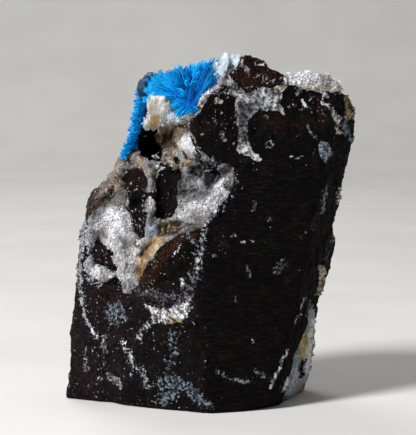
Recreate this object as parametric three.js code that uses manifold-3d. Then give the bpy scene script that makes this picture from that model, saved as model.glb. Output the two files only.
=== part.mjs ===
// Cavansite on stilbite and heulandite, on a trimmed block of basalt breccia.
// Millimetres, +X right, +Y towards the back, +Z up. The block rests on its flat cut base at Z = 0.

import * as THREE from 'three';
import { mergeVertices } from 'three/addons/utils/BufferGeometryUtils.js';
import { ConvexGeometry } from 'three/addons/geometries/ConvexGeometry.js';
import { ImprovedNoise } from 'three/addons/math/ImprovedNoise.js';
import Module from 'manifold-3d';

const wasm = await Module();
wasm.setup();

// ---------------------------------------------------------------- driving dimensions

const GAP = 0.3; // clearance between touching pieces
const TOP_HEIGHT = 60; // the block's broken top
const SHOULDER_HEIGHT = 40.4; // top of the low shoulder on the left
const HEART = new THREE.Vector3(4, 2, 27); // every part of the block's surface is seen from here
const EDGE_SOFTNESS = 1.1; // rounding of the block's worn edges
const SAW_ALLOWANCE = 1.5; // stock left in front of the sawn faces before they are cut
const SURFACE_DETAIL = 10; // subdivisions of the sphere that the block's surface is drawn on
const CROWDING = 0.3; // how much finer that sphere is towards the vug
const VUG_DIRECTION = new THREE.Vector3(-0.47, -0.54, 0.7).normalize();
const SEARCH_RADIUS = 60; // further from the heart than any part of the block
const MISSED = 150; // a line that runs this far has missed the block
const SETTLE = new THREE.Vector3(-0.55, 0.39, 0); // moves the finished piece over the middle of its base

// The block's faces: a point that each passes through, and the way it faces. The vug hollows some of them.
const FRONT_FOOT = [-0.5, -19.5, 0]; // the foot of the edge between the two front faces
const FACES = {
  sawnFront: { through: FRONT_FOOT, facing: [0.328, -0.944, 0.04], stock: SAW_ALLOWANCE, hollowed: true },
  leftFront: { through: FRONT_FOOT, facing: [-0.495, -0.869, -0.01], hollowed: true },
  leftSide: { through: [-27.4, -4.4, 0], facing: [-0.99, 0.08, 0.1] },
  rightSide: { through: [14, -10.8, 0], facing: [0.94, -0.3, -0.16] },
  rightEdge: { through: [13, -15.2, 0], facing: [0.74, -0.65, -0.14] },
  rightBack: { through: [19.7, 7.5, 0], facing: [0.78, 0.6, -0.1] },
  rightTop: { through: [27.4, -1, 56.5], facing: [0.84, 0.1, 0.52] },
  back: { through: [0, 18.5, 0], facing: [0.06, 0.99, 0.06] },
  leftBack: { through: [-24, 10, 0], facing: [-0.66, 0.74, 0.1] },
  backTop: { through: [6, 15, 50], facing: [0.15, 0.72, 0.68] },
  top: { through: [14, -8, TOP_HEIGHT], facing: [0, 0.1, 0.99] },
  base: { through: [0, 0, 0], facing: [0, 0, -1], stock: SAW_ALLOWANCE },
};

// The low shoulder on the left, and the two faces that bound only the narrow part above it.
const SHOULDER = { through: [-20.4, 1, SHOULDER_HEIGHT], facing: [-0.35, -0.1, 0.93] };
const UPPER_LEFT = { through: [-16.2, 1, 44.1], facing: [-0.955, 0.12, 0.25] };
const UPPER_FRONT_LEFT = { through: [-12.8, -8.3, 50], facing: [-0.74, -0.62, 0.24], hollowed: true };

// Outline of the vug in the front view, as [x, z]: its right side is the edge of the sawn face.
const VUG_OUTLINE = [
  [6.6, 72], [6.2, 66], [4.6, 62.6], [5, 60.4], [3.6, 59.4], [1.6, 59.1], [-0.8, 57.8], [-3, 54.6],
  [-4.1, 51.6], [-1.4, 48.9], [3.6, 47.5], [6, 45.6], [5.2, 41.4], [3.2, 38], [1.8, 35.4], [-1.2, 33.4],
  [-6.4, 27.6], [-12.6, 21.6], [-17.5, 20.4], [-22.5, 22], [-34, 22], [-34, 72],
];
const VUG_WALL = 1.6; // width of the wall between the sawn face and the vug's floor
const VUG_FLOOR = 0.5; // least depth anywhere in the vug

// Deeper places in the vug: middle [x, z], half-widths [across, up] and depth.
const HOLLOWS = [
  { at: [-8, 49.5], reach: [8, 7], depth: 4 },
  { at: [0.8, 43], reach: [5.4, 4.6], depth: 5.2 },
  { at: [-11, 49.8], reach: [2.4, 3.2], depth: 4.2 },
  { at: [-7.4, 41], reach: [2.2, 4.6], depth: 2.2 },
  { at: [-14.2, 43.4], reach: [1.8, 2.4], depth: 1.4 },
  { at: [-1.6, 60], reach: [4.6, 5], depth: 4.4 },
  { at: [-8, 58.5], reach: [6, 5], depth: 1.2 },
  { at: [3, 62], reach: [3, 4], depth: 2.4 },
];

// Swellings of the block: middle [x, y, z], reach and height.
const SWELLINGS = [
  { at: [7.8, -13, 61.5], reach: 4.8, height: 5.2 },
  { at: [-3, 0, 61], reach: 9, height: -1 },
  { at: [27, 2, 50], reach: 7, height: 0.9 },
];

// ---------------------------------------------------------------- small tools

const perlin = new ImprovedNoise();

function noise(point, size, offset = 0) {
  return perlin.noise(point.x / size + offset, point.y / size - offset, point.z / size + 2 * offset);
}

function randomStream(seed) {
  let state = seed;
  return () => {
    state = (state * 1664525 + 1013904223) % 4294967296;
    return state / 4294967296;
  };
}

function smooth(low, high, value) {
  return THREE.MathUtils.smoothstep(value, low, high);
}

function asPlane(face) {
  const normal = new THREE.Vector3(...face.facing).normalize();
  const through = new THREE.Vector3(...face.through);
  through.addScaledVector(normal, face.stock ?? 0);
  return { normal, through, hollowed: face.hollowed ?? false };
}

// Depth of a point behind a plane: positive inside the block.
function depthBehind(plane, point) {
  return plane.normal.dot(plane.through) - plane.normal.dot(point);
}

// The smaller of several depths, rounded where they meet.
function softLeast(depths, softness) {
  const least = Math.min(...depths);
  const sum = depths.reduce((total, depth) => total + Math.exp((least - depth) / softness), 0);
  return least - softness * Math.log(sum);
}

// Signed distance from [x, z] to a closed outline: positive inside it.
function insideOutline(x, z, outline) {
  let nearest = Infinity;
  let inside = false;
  outline.forEach(([x1, z1], i) => {
    const [x2, z2] = outline[(i + 1) % outline.length];
    const along = ((x - x1) * (x2 - x1) + (z - z1) * (z2 - z1)) / ((x2 - x1) ** 2 + (z2 - z1) ** 2);
    const share = THREE.MathUtils.clamp(along, 0, 1);
    nearest = Math.min(nearest, Math.hypot(x - x1 - share * (x2 - x1), z - z1 - share * (z2 - z1)));
    if (z1 > z !== z2 > z && x < x1 + ((z - z1) * (x2 - x1)) / (z2 - z1)) {
      inside = !inside;
    }
  });
  return inside ? nearest : -nearest;
}

// Height of a broken stony surface: every cell of a jittered grid has a flat facet of its own lean.
function brokenFacets(point, size) {
  const cell = point.clone().divideScalar(size);
  const home = cell.clone().floor();
  let nearest = Infinity;
  let height = 0;
  for (let i = 0; i < 27; i += 1) {
    const step = new THREE.Vector3((i % 3) - 1, (Math.floor(i / 3) % 3) - 1, Math.floor(i / 9) - 1);
    const corner = home.clone().add(step);
    const random = randomStream(Math.abs(corner.x * 7349 + corner.y * 9151 + corner.z * 5477) * 31 + 17);
    random();
    const seed = corner.clone().add(new THREE.Vector3(random(), random(), random()));
    const distance = seed.distanceTo(cell);
    if (distance < nearest) {
      nearest = distance;
      const lean = new THREE.Vector3(random() - 0.5, random() - 0.5, random() - 0.5);
      height = lean.dot(cell.clone().sub(seed)) + 0.3 * (random() - 0.5);
    }
  }
  return height;
}

// ---------------------------------------------------------------- solids

function toSolid(geometry) {
  const bare = geometry.clone();
  bare.deleteAttribute('normal');
  bare.deleteAttribute('uv');
  const merged = mergeVertices(bare, 1e-4);
  return new wasm.Manifold(new wasm.Mesh({
    numProp: 3,
    vertProperties: new Float32Array(merged.attributes.position.array),
    triVerts: new Uint32Array(merged.index.array),
  }));
}

function join(solids) {
  return solids.reduce((whole, solid) => whole.add(solid));
}

// The largest body of a solid: crumbs that a cut leaves loose are dropped.
function mainBody(solid) {
  const bodies = solid.decompose();
  return bodies.reduce((best, body) => (body.volume() > best.volume() ? body : best));
}

function toMesh(name, solid, material) {
  const mesh = solid.getMesh();
  const geometry = new THREE.BufferGeometry();
  const positions = new Float32Array((mesh.vertProperties.length / mesh.numProp) * 3);
  for (let i = 0; i < positions.length / 3; i += 1) {
    positions.set(mesh.vertProperties.subarray(i * mesh.numProp, i * mesh.numProp + 3), i * 3);
  }
  geometry.setAttribute('position', new THREE.BufferAttribute(positions, 3));
  geometry.setIndex(new THREE.BufferAttribute(new Uint32Array(mesh.triVerts), 1));
  const piece = new THREE.Mesh(geometry, new THREE.MeshStandardMaterial(material));
  piece.name = name;
  return piece;
}

// All that the saw takes away in front of a face, as a large box.
function cutterInFrontOf(face) {
  const size = 200;
  const normal = new THREE.Vector3(...face.facing).normalize();
  const geometry = new THREE.BoxGeometry(size, size, size);
  geometry.translate(0, 0, size / 2);
  geometry.applyQuaternion(new THREE.Quaternion().setFromUnitVectors(new THREE.Vector3(0, 0, 1), normal));
  geometry.translate(...face.through);
  return toSolid(geometry);
}

const sawnAway = join([cutterInFrontOf(FACES.sawnFront), cutterInFrontOf(FACES.base)]);

// ---------------------------------------------------------------- the block's surface

const PLANES = Object.values(FACES).map(asPlane);
const SHOULDER_PLANE = asPlane(SHOULDER);
const UPPER_LEFT_PLANE = asPlane(UPPER_LEFT);
const UPPER_FRONT_LEFT_PLANE = asPlane(UPPER_FRONT_LEFT);

function vugDepth(point) {
  const inside = insideOutline(point.x, point.z, VUG_OUTLINE);
  if (inside <= 0) {
    return 0;
  }
  const hollows = HOLLOWS.reduce((total, hollow) => {
    const across = (point.x - hollow.at[0]) / hollow.reach[0];
    const up = (point.z - hollow.at[1]) / hollow.reach[1];
    return total + hollow.depth * Math.exp(-(across ** 2) - up ** 2);
  }, 0);
  const front = 1 - smooth(-4, 4, point.y);
  return (VUG_FLOOR + hollows) * smooth(0, VUG_WALL, inside) * front;
}

function swelling(point) {
  return SWELLINGS.reduce((total, lump) => {
    const distance = point.distanceTo(new THREE.Vector3(...lump.at));
    return total + lump.height * Math.exp(-((distance / lump.reach) ** 2));
  }, 0);
}

function roughness(point) {
  const broad = 0.7 * noise(point, 11) + 0.35 * noise(point, 5, 7);
  const facets = 1.5 * brokenFacets(point, 7.5) + 0.7 * brokenFacets(point, 3.6);
  return broad + facets;
}

// How far a point lies inside the block, before its broken faces are roughened.
function depthInBlock(point) {
  const hollow = vugDepth(point);
  const behind = (plane) => depthBehind(plane, point) - (plane.hollowed ? hollow : 0);
  const narrow = softLeast([behind(UPPER_LEFT_PLANE), behind(UPPER_FRONT_LEFT_PLANE)], EDGE_SOFTNESS);
  const upper = Math.max(behind(SHOULDER_PLANE), narrow);
  return softLeast([...PLANES.map(behind), upper], EDGE_SOFTNESS) + swelling(point);
}

// Distance from the heart to the surface, found from the outside in.
function blockRadius(direction) {
  const step = 0.6;
  const probe = (radius) => depthInBlock(HEART.clone().addScaledVector(direction, radius));
  let outside = SEARCH_RADIUS;
  while (outside > step && probe(outside - step) < 0) {
    outside -= step;
  }
  let inside = outside - step;
  for (let i = 0; i < 8; i += 1) {
    const middle = (inside + outside) / 2;
    if (probe(middle) > 0) {
      inside = middle;
    } else {
      outside = middle;
    }
  }
  return inside + roughness(HEART.clone().addScaledVector(direction, inside));
}

// Draws a sphere's directions together around one axis, with its triangles kept well shaped.
function crowdTowards(direction, axis, strength) {
  const along = direction.dot(axis);
  const across = direction.clone().addScaledVector(axis, -along);
  if (across.length() < 1e-6) {
    return direction;
  }
  const newAlong = (along + strength) / (1 + strength * along);
  return across.setLength(Math.sqrt(1 - newAlong ** 2)).addScaledVector(axis, newAlong);
}

function makeDirections() {
  const sphere = new THREE.IcosahedronGeometry(1, SURFACE_DETAIL);
  sphere.deleteAttribute('normal');
  sphere.deleteAttribute('uv');
  const merged = mergeVertices(sphere, 1e-5);
  const directions = [];
  for (let i = 0; i < merged.attributes.position.count; i += 1) {
    const direction = new THREE.Vector3().fromBufferAttribute(merged.attributes.position, i).normalize();
    directions.push(crowdTowards(direction, VUG_DIRECTION, CROWDING));
  }
  return { directions, index: merged.index };
}

const { directions, index } = makeDirections();
const blockRadii = directions.map(blockRadius);

// A closed surface over the block: offset(point) is its height above the stone.
function surfaceOverBlock(offset) {
  const positions = new Float32Array(directions.length * 3);
  directions.forEach((direction, i) => {
    const ground = HEART.clone().addScaledVector(direction, blockRadii[i]);
    ground.addScaledVector(direction, offset(ground)).toArray(positions, i * 3);
  });
  const geometry = new THREE.BufferGeometry();
  geometry.setAttribute('position', new THREE.BufferAttribute(positions, 3));
  geometry.setIndex(index);
  return toSolid(geometry);
}

// ---------------------------------------------------------------- crystals and clasts

// A crystal standing on its root: a four-sided blade with a narrowed or pointed end.
function crystal(form, grow = 0) {
  const { at, axis, width, thick, length } = form;
  const { spin = 0, end = 0.25, endWidth = 0, root = 0.4 } = form;
  const points = [];
  const ring = (height, share) => {
    for (let i = 0; i < 4; i += 1) {
      const angle = ((i + 0.5) / 4) * 2 * Math.PI;
      const x = (width / 2) * share * Math.cos(angle) + Math.sign(Math.cos(angle)) * grow;
      const y = (thick / 2) * share * Math.sin(angle) + Math.sign(Math.sin(angle)) * grow;
      points.push(new THREE.Vector3(x, y, height));
    }
  };
  ring(-root - grow, 0.8);
  ring(length * (1 - end), 1.4);
  if (endWidth > 0) {
    ring(length + grow, endWidth);
  } else {
    points.push(new THREE.Vector3(0, 0, length + 1.5 * grow));
  }
  const geometry = new ConvexGeometry(points);
  geometry.rotateZ(spin);
  geometry.applyQuaternion(new THREE.Quaternion().setFromUnitVectors(new THREE.Vector3(0, 0, 1), axis));
  geometry.translate(at.x, at.y, at.z);
  return toSolid(geometry);
}

// An angular lump: the convex hull of points scattered evenly over an ellipsoid.
function lump(form, grow = 0) {
  const { at, radii, corners = 18, seed = 1, turn = [0, 0, 0] } = form;
  const random = randomStream(seed * 977 + 5);
  const points = [];
  for (let i = 0; i < corners; i += 1) {
    const height = 1 - (2 * (i + 0.5)) / corners;
    const angle = i * 2.4 + 0.5 * random();
    const across = Math.sqrt(1 - height * height);
    const scale = 0.88 + 0.2 * random();
    const x = across * Math.cos(angle) * (radii[0] * scale + grow);
    const y = across * Math.sin(angle) * (radii[1] * scale + grow);
    points.push(new THREE.Vector3(x, y, height * (radii[2] * scale + grow)));
  }
  const geometry = new ConvexGeometry(points);
  geometry.applyQuaternion(new THREE.Quaternion().setFromEuler(new THREE.Euler(...turn)));
  geometry.translate(at.x, at.y, at.z);
  return toSolid(geometry);
}

// The point where a line reaches the block from outside.
function landOnBlock(from, towards) {
  const point = from.clone();
  const step = towards.clone().setLength(0.25);
  while (depthInBlock(point) < 0) {
    point.add(step);
    if (point.length() > MISSED) {
      return null;
    }
  }
  return point;
}

function frontAt(x, z) {
  return landOnBlock(new THREE.Vector3(x, -30, z), new THREE.Vector3(0, 1, 0));
}

const GOLDEN_ANGLE = Math.PI * (3 - Math.sqrt(5)); // turns neighbouring blades evenly round a spray
const CORE_SHARE = 0.72; // a spray's core, as a share of its radius
const CORE_CORNERS = 12;
const CORE_SINK = 0.28; // how far the core lies below the spray's middle, as a share of its radius

// A spray of blades that fans out from one lump, mostly along one direction.
function spray(form) {
  const { at, outward, radius, blades, seed, spread = 1.25 } = form;
  const random = randomStream(seed * 6151 + 3);
  const coreRadius = CORE_SHARE * radius;
  const coreAt = at.clone().addScaledVector(outward, -CORE_SINK * radius);
  const core = { at: coreAt, radii: [coreRadius, coreRadius, coreRadius], corners: CORE_CORNERS, seed };
  const pieces = [(grow) => lump(core, grow)];
  const side = new THREE.Vector3(outward.z, outward.x, -outward.y).cross(outward).normalize();
  for (let i = 0; i < blades; i += 1) {
    const tilt = spread * Math.sqrt((i + 0.5) / blades) * (0.9 + 0.2 * random());
    const turn = i * GOLDEN_ANGLE + 0.6 * random();
    const axis = outward.clone().applyAxisAngle(side, tilt).applyAxisAngle(outward, turn);
    const blade = {
      at: at.clone().addScaledVector(axis, 0.3 * radius),
      axis,
      spin: random() * Math.PI,
      width: form.width * (0.8 + 0.5 * random()),
      thick: form.thick * (0.8 + 0.4 * random()),
      length: 0.7 * radius * (0.8 + 0.4 * random()),
      end: form.end ?? 0.4,
      endWidth: form.endWidth ?? 0,
      root: 0.1 * radius,
    };
    pieces.push((grow) => crystal(blade, grow));
  }
  return pieces;
}

function joined(pieces, grow = 0) {
  return join(pieces.map((piece) => piece(grow)));
}

// ---------------------------------------------------------------- matrix

const CLASTS = [
  { at: [-6.6, 27.6], sunk: 0.6, radii: [9, 2.6, 4.3], turn: [0, -0.83, -0.45], corners: 22, seed: 3 },
  { at: [-8.2, 45.6], sunk: 0.8, radii: [2.4, 2.2, 2.6], turn: [0.2, 0.4, 0], corners: 14, seed: 8 },
  { at: [-14.2, 39], sunk: 0.9, radii: [2, 1.8, 3.2], turn: [0, 0.3, 0.4], corners: 14, seed: 5 },
];

function clastForm(clast) {
  const at = frontAt(...clast.at);
  at.y += clast.sunk;
  return { ...clast, at };
}

function makeMatrix(block, clasts) {
  const grown = block.add(joined(clasts));
  return mainBody(grown.subtract(sawnAway));
}

// ---------------------------------------------------------------- vug crust

const CRUST_THICKNESS = 1.2;
const CRUST_OUTLINE = [
  [6.2, 64.5], [4.8, 62.6], [5.2, 60.6], [3.8, 59.2], [1.6, 59], [-0.8, 57.6], [-2.8, 54.6], [-3.9, 51.6],
  [-1.2, 49.1], [3.8, 47.7], [6.2, 45.6], [5.4, 41.4], [3.4, 38], [2.6, 35.4], [1.4, 31],
  [0.2, 25.5], [-3, 24], [-5, 26.4], [-2.2, 31.6], [-5.6, 31], [-12.4, 24.4], [-14.6, 22], [-17.5, 22.4],
  [-22.4, 23.6], [-23.4, 30], [-21.4, 37], [-19, 43], [-17.4, 46], [-14, 48], [-12.6, 52], [-11, 54.6],
  [-6, 56.2], [-1.6, 59.6], [1, 62.4], [2.6, 65.5],
];

// Bare stone left showing through the crust: middle [x, z] and half-widths [across, up].
const BARE_PLACES = [
  { at: [-11, 49.8], reach: [2.3, 3.1] },
  { at: [-7.9, 42], reach: [2.1, 5.6] },
  { at: [-14.2, 42.4], reach: [1.7, 2.8] },
  { at: [-12.7, 37.6], reach: [1.5, 3.4] },
  { at: [-19.2, 28.2], reach: [2.6, 2.2] },
];

function crustThickness(point) {
  const inside = insideOutline(point.x, point.z, CRUST_OUTLINE);
  const bare = BARE_PLACES.reduce((most, place) => {
    const across = (point.x - place.at[0]) / place.reach[0];
    const up = (point.z - place.at[1]) / place.reach[1];
    return Math.max(most, 1.3 - Math.hypot(across, up));
  }, 0);
  const front = 1 - smooth(0, 6, point.y);
  const lumps = 1 + 0.7 * noise(point, 2.6, 3);
  return CRUST_THICKNESS * lumps * smooth(-0.2, 1.8, inside) * front - 2.2 * bare - 0.25;
}

const NODULES = [
  { at: [-3.6, 49.4], radii: [1.9, 1.7, 2.4], seed: 21 },
  { at: [-4.6, 46.2], radii: [1.3, 1.2, 1.5], seed: 22 },
  { at: [-6.4, 52.4], radii: [2.6, 1.5, 1.6], seed: 23 },
  { at: [-15.2, 44.6], radii: [1.4, 1.6, 2], seed: 24 },
  { at: [-10.6, 45.2], radii: [1.5, 1.4, 1.6], seed: 25 },
  { at: [-6.4, 34.4], radii: [2.4, 1.5, 1.9], seed: 26 },
  { at: [-10.6, 30.4], radii: [2.6, 1.3, 1.3], turn: [0, -0.8, 0], seed: 27 },
];

// A short blunt crystal of druse, standing on the stone.
function druseCrystal(ground, axis, random) {
  const size = 0.8 + 0.7 * random();
  const at = ground.clone().addScaledVector(axis, 0.6);
  const spin = random() * Math.PI;
  const form = { width: 1.4 * size, thick: 1.05 * size, length: 1.45 * size, endWidth: 0.7, spin };
  return (grow) => crystal({ ...form, at, axis }, grow);
}

const CRUST_CRYSTALS = 30;
const CRUST_CRYSTAL_FIELD = { left: -22, right: 6, low: 24, high: 46 };

// Crystals scattered over the crust below the cavansite.
function crustCrystals() {
  const random = randomStream(4242);
  const { left, right, low, high } = CRUST_CRYSTAL_FIELD;
  const pieces = [];
  while (pieces.length < CRUST_CRYSTALS) {
    const x = left + (right - left) * random();
    const z = low + (high - low) * random();
    const ground = frontAt(x, z);
    if (ground !== null && crustThickness(ground) > 0.4) {
      const lean = new THREE.Vector3(random() - 0.5, -0.6 + 0.4 * random(), random() - 0.3);
      const axis = ground.clone().sub(HEART).normalize().add(lean).normalize();
      pieces.push(druseCrystal(ground, axis, random));
    }
  }
  return pieces;
}

// ---------------------------------------------------------------- cavansite

const CAVANSITE_BLADE = { width: 1.7, thick: 0.9 };

// Rosettes in the vug's mouth: middle, radius and number of blades.
const FRONT_ROSETTES = [
  { at: [-9, -7.4, 58.2], radius: 4.8, blades: 9 },
  { at: [-5.2, -8.6, 58.2], radius: 6, blades: 12 },
  { at: [-2.8, -11.4, 56.4], radius: 4.4, blades: 7 },
  { at: [-0.8, -11.6, 60], radius: 4.6, blades: 8 },
];

// Smaller rosettes down the left flank: middle [x, z] in the front view, radius and blades.
const FLANK_ROSETTES = [
  { at: [-12, 56.4], radius: 3.2, blades: 5 },
  { at: [-12.6, 53.4], radius: 2.9, blades: 4 },
  { at: [-13.8, 50.2], radius: 2.7, blades: 4 },
  { at: [-14.6, 47.2], radius: 2.6, blades: 4 },
];

// Rosettes over the top edge, behind the front ones.
const TOP_ROSETTES = [
  { at: [-8.6, -2.6, 58.6], radius: 3.8, blades: 5 },
  { at: [-3.4, -4.4, 59.2], radius: 3.8, blades: 5 },
  { at: [-6, 1, 58.8], radius: 3, blades: 4 },
];

const FRONT_OUTWARD = new THREE.Vector3(-0.1, -0.8, 0.55).normalize();
const FLANK_OUTWARD = new THREE.Vector3(-0.86, -0.4, 0.3).normalize();
const TOP_OUTWARD = new THREE.Vector3(-0.2, 0.1, 0.97).normalize();

function rosettes(forms, outward, firstSeed) {
  return forms.flatMap((form, i) => {
    const at = form.at.length === 3 ? new THREE.Vector3(...form.at) : frontAt(...form.at);
    return spray({ ...CAVANSITE_BLADE, ...form, at, outward, seed: firstSeed + i });
  });
}

function cavansitePieces() {
  return [
    ...rosettes(FRONT_ROSETTES, FRONT_OUTWARD, 1),
    ...rosettes(FLANK_ROSETTES, FLANK_OUTWARD, 11),
    ...rosettes(TOP_ROSETTES, TOP_OUTWARD, 21),
  ];
}

// ---------------------------------------------------------------- stilbite and heulandite

// The cream bundle of stilbite blades that stands before the cavansite.
const CREAM_BLADES = [
  { at: [-9, -10.4, 53.4], lean: [-0.06, -0.3, 0.95], width: 3, thick: 2, length: 5.8 },
  { at: [-7.8, -10.2, 53], lean: [0.12, -0.34, 0.92], width: 2.4, thick: 1.6, length: 4.6 },
  { at: [-10, -9.6, 52.6], lean: [-0.18, -0.3, 0.92], width: 2.1, thick: 1.5, length: 4.2 },
];
const CREAM_ROOT = { at: new THREE.Vector3(-8.8, -7, 52.4), radii: [2.2, 4.6, 1.7], corners: 12, seed: 51 };

function creamPieces() {
  const blades = CREAM_BLADES.map((form, i) => {
    const at = new THREE.Vector3(...form.at);
    const axis = new THREE.Vector3(...form.lean).normalize();
    const blade = { ...form, at, axis, spin: 0.3 * i, endWidth: 0.8, end: 0.3, root: 1 };
    return (grow) => crystal(blade, grow);
  });
  return [(grow) => lump(CREAM_ROOT, grow), ...blades];
}

// The white sheaf that stands up beside the sawn face, and the clear crystals at the left corner.
const WHITE_SHEAF = { radius: 5, blades: 16, width: 2.1, thick: 1.1, spread: 1.15, seed: 31 };
const WHITE_SHEAF_PLACE = { at: [4.6, -12.6, 60.6], outward: [0.05, -0.35, 0.93] };
const CLEAR_CLUSTER = { radius: 2.8, blades: 7, width: 1.9, thick: 1.1, spread: 1.2, seed: 41 };
const CLEAR_CLUSTER_PLACE = { at: [-10.8, -5.8, 59.2], outward: [-0.4, -0.44, 0.8] };

function bluntCluster(form, place) {
  const at = new THREE.Vector3(...place.at);
  const outward = new THREE.Vector3(...place.outward).normalize();
  return spray({ ...form, at, outward, endWidth: 0.85, end: 0.3 });
}

// ---------------------------------------------------------------- coats on the top edge and the right side

// White druse along the top right edge, thinning out towards the back: outline seen from above.
const TOP_DRUSE_OUTLINE = [
  [13.6, -14], [27, -10], [28.6, -4], [26, 0.4], [21, -1.4], [17.6, -4.2], [14.6, -7],
];
const TOP_DRUSE_THICKNESS = 1.1;
const TOP_DRUSE_CRYSTALS = 10;
const TOP_DRUSE_FIELD = { left: 14.5, right: 25, front: -10.5, back: -4 };

function topDruseThickness(point) {
  const inside = insideOutline(point.x, point.y, TOP_DRUSE_OUTLINE);
  const high = smooth(56.6, 58.4, point.z);
  return TOP_DRUSE_THICKNESS * smooth(-0.6, 2.4, inside) * high * (1 + 0.6 * noise(point, 2.2, 5)) - 0.3;
}

function topDruseCrystals() {
  const random = randomStream(777);
  const { left, right, front, back } = TOP_DRUSE_FIELD;
  const pieces = [];
  while (pieces.length < TOP_DRUSE_CRYSTALS) {
    const x = left + (right - left) * random();
    const y = front + (back - front) * random();
    const ground = landOnBlock(new THREE.Vector3(x, y, SEARCH_RADIUS + 20), new THREE.Vector3(0, 0, -1));
    if (ground !== null && topDruseThickness(ground) > 0.6) {
      const axis = new THREE.Vector3(random() - 0.5, -0.7 * random(), 1).normalize();
      pieces.push(druseCrystal(ground, axis, random));
    }
  }
  return pieces;
}

// Yellowish coat low on the right side: outline seen from the right, as [y, z].
const SIDE_COAT_OUTLINE = [
  [-10, 1], [4.6, 1], [5.4, 4], [3.4, 12], [0, 17.4], [-5, 16.6], [-8.4, 11.6], [-9.4, 5],
];
const SIDE_COAT_THICKNESS = 0.9;
const SIDE_COAT_LEFT = 8; // nothing to the left of this belongs to the right side

function sideCoatThickness(point) {
  if (point.x < SIDE_COAT_LEFT) {
    return -1;
  }
  const inside = insideOutline(point.y, point.z, SIDE_COAT_OUTLINE);
  return SIDE_COAT_THICKNESS * smooth(-0.4, 1.6, inside) * (1 + 0.5 * noise(point, 3, 9)) - 0.3;
}

// ---------------------------------------------------------------- assembly of the specimen

const clasts = CLASTS.map((clast) => (grow) => lump(clastForm(clast), grow));
const rawBlock = surfaceOverBlock(() => 0);
const clearOfBlock = surfaceOverBlock(() => GAP).add(joined(clasts, GAP));
const matrix = makeMatrix(rawBlock, clasts);

// A coat that grows on the block where its thickness is more than nothing.
function coat(thickness, extras) {
  const grown = join([surfaceOverBlock((ground) => GAP + thickness(ground)), ...extras]);
  return mainBody(grown.subtract(clearOfBlock).subtract(sawnAway));
}

const nodules = NODULES.map((nodule) => {
  const form = { ...nodule, corners: 12, at: frontAt(...nodule.at) };
  return (grow) => lump(form, grow);
});
const crustLumps = [...nodules, ...crustCrystals()];
const crust = coat(crustThickness, [joined(crustLumps)]);
const topDruse = coat(topDruseThickness, [joined(topDruseCrystals())]);
const sideCoat = coat(sideCoatThickness, []);

const clearOfCrust = surfaceOverBlock((ground) => Math.max(GAP, 2 * GAP + crustThickness(ground)));
const clearOfGround = join([clearOfCrust, clearOfBlock, joined(crustLumps, GAP)]);
const cream = creamPieces();
const sheaf = bluntCluster(WHITE_SHEAF, WHITE_SHEAF_PLACE);
const clear = bluntCluster(CLEAR_CLUSTER, CLEAR_CLUSTER_PLACE);
const creamBlades = mainBody(joined(cream).subtract(clearOfGround));
const whiteSheaf = mainBody(joined(sheaf).subtract(clearOfGround).subtract(sawnAway));
const clearCrystals = mainBody(joined(clear).subtract(clearOfGround).subtract(joined(cream, GAP)));
const cavansiteClearance = [joined(cream, GAP), joined(sheaf, GAP), joined(clear, GAP), clearOfGround];
const cavansite = mainBody(
  cavansiteClearance.reduce((solid, space) => solid.subtract(space), joined(cavansitePieces())),
);

const STONE = { color: 0x3a2722, roughness: 0.85, metalness: 0 };
const ZEOLITE = { color: 0xdcdcd8, roughness: 0.45, metalness: 0 };
const CAVANSITE = { color: 0x1173c8, roughness: 0.4, metalness: 0 };
const CREAM_STILBITE = { color: 0xe6dcc4, roughness: 0.4, metalness: 0 };
const WHITE_STILBITE = { color: 0xd8e2ea, roughness: 0.35, metalness: 0 };
const HEULANDITE = { color: 0xb8c4cc, roughness: 0.15, metalness: 0 };
const YELLOW_COAT = { color: 0xc8b888, roughness: 0.6, metalness: 0 };

const specimen = new THREE.Group();
specimen.add(toMesh('basalt_matrix', matrix, STONE));
specimen.add(toMesh('zeolite_crust', crust, ZEOLITE));
specimen.add(toMesh('cavansite_rosettes', cavansite, CAVANSITE));
specimen.add(toMesh('stilbite_cream_blades', creamBlades, CREAM_STILBITE));
specimen.add(toMesh('stilbite_white_sheaf', whiteSheaf, WHITE_STILBITE));
specimen.add(toMesh('heulandite_clear_cluster', clearCrystals, HEULANDITE));
specimen.add(toMesh('top_edge_druse', topDruse, ZEOLITE));
specimen.add(toMesh('side_coat', sideCoat, YELLOW_COAT));
specimen.position.copy(SETTLE);

export default specimen;
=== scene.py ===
"""Cavansite on a trimmed block of basalt breccia: the fine surface and the looks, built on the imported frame.

Lengths are in millimetres until a mesh is made. The front of the block is painted by places on a front grid:
[column, row] as the camera sees them, GRID millimetres apart, column 0 at the left and row 0 at the top.
"""

import itertools
import math

import bpy
import numpy as np
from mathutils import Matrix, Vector
from mathutils.bvhtree import BVHTree


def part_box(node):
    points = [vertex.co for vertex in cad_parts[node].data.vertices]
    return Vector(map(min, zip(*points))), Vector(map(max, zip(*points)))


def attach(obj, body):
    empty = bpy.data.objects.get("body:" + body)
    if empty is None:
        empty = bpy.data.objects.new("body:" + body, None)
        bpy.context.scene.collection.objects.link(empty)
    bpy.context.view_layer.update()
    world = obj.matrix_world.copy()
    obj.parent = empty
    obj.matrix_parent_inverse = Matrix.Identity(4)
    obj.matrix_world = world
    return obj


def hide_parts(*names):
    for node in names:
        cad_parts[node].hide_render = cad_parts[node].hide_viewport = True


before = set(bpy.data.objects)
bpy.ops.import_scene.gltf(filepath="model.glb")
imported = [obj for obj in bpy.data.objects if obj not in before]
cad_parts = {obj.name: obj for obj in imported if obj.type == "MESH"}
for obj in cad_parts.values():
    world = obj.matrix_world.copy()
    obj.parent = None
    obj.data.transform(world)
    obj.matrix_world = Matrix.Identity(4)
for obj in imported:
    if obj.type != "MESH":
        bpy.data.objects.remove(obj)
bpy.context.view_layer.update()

MM = 0.001


def placed(name, data):
    """A new object in the scene."""
    made = bpy.data.objects.new(name, data)
    bpy.context.scene.collection.objects.link(made)
    return made


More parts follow.
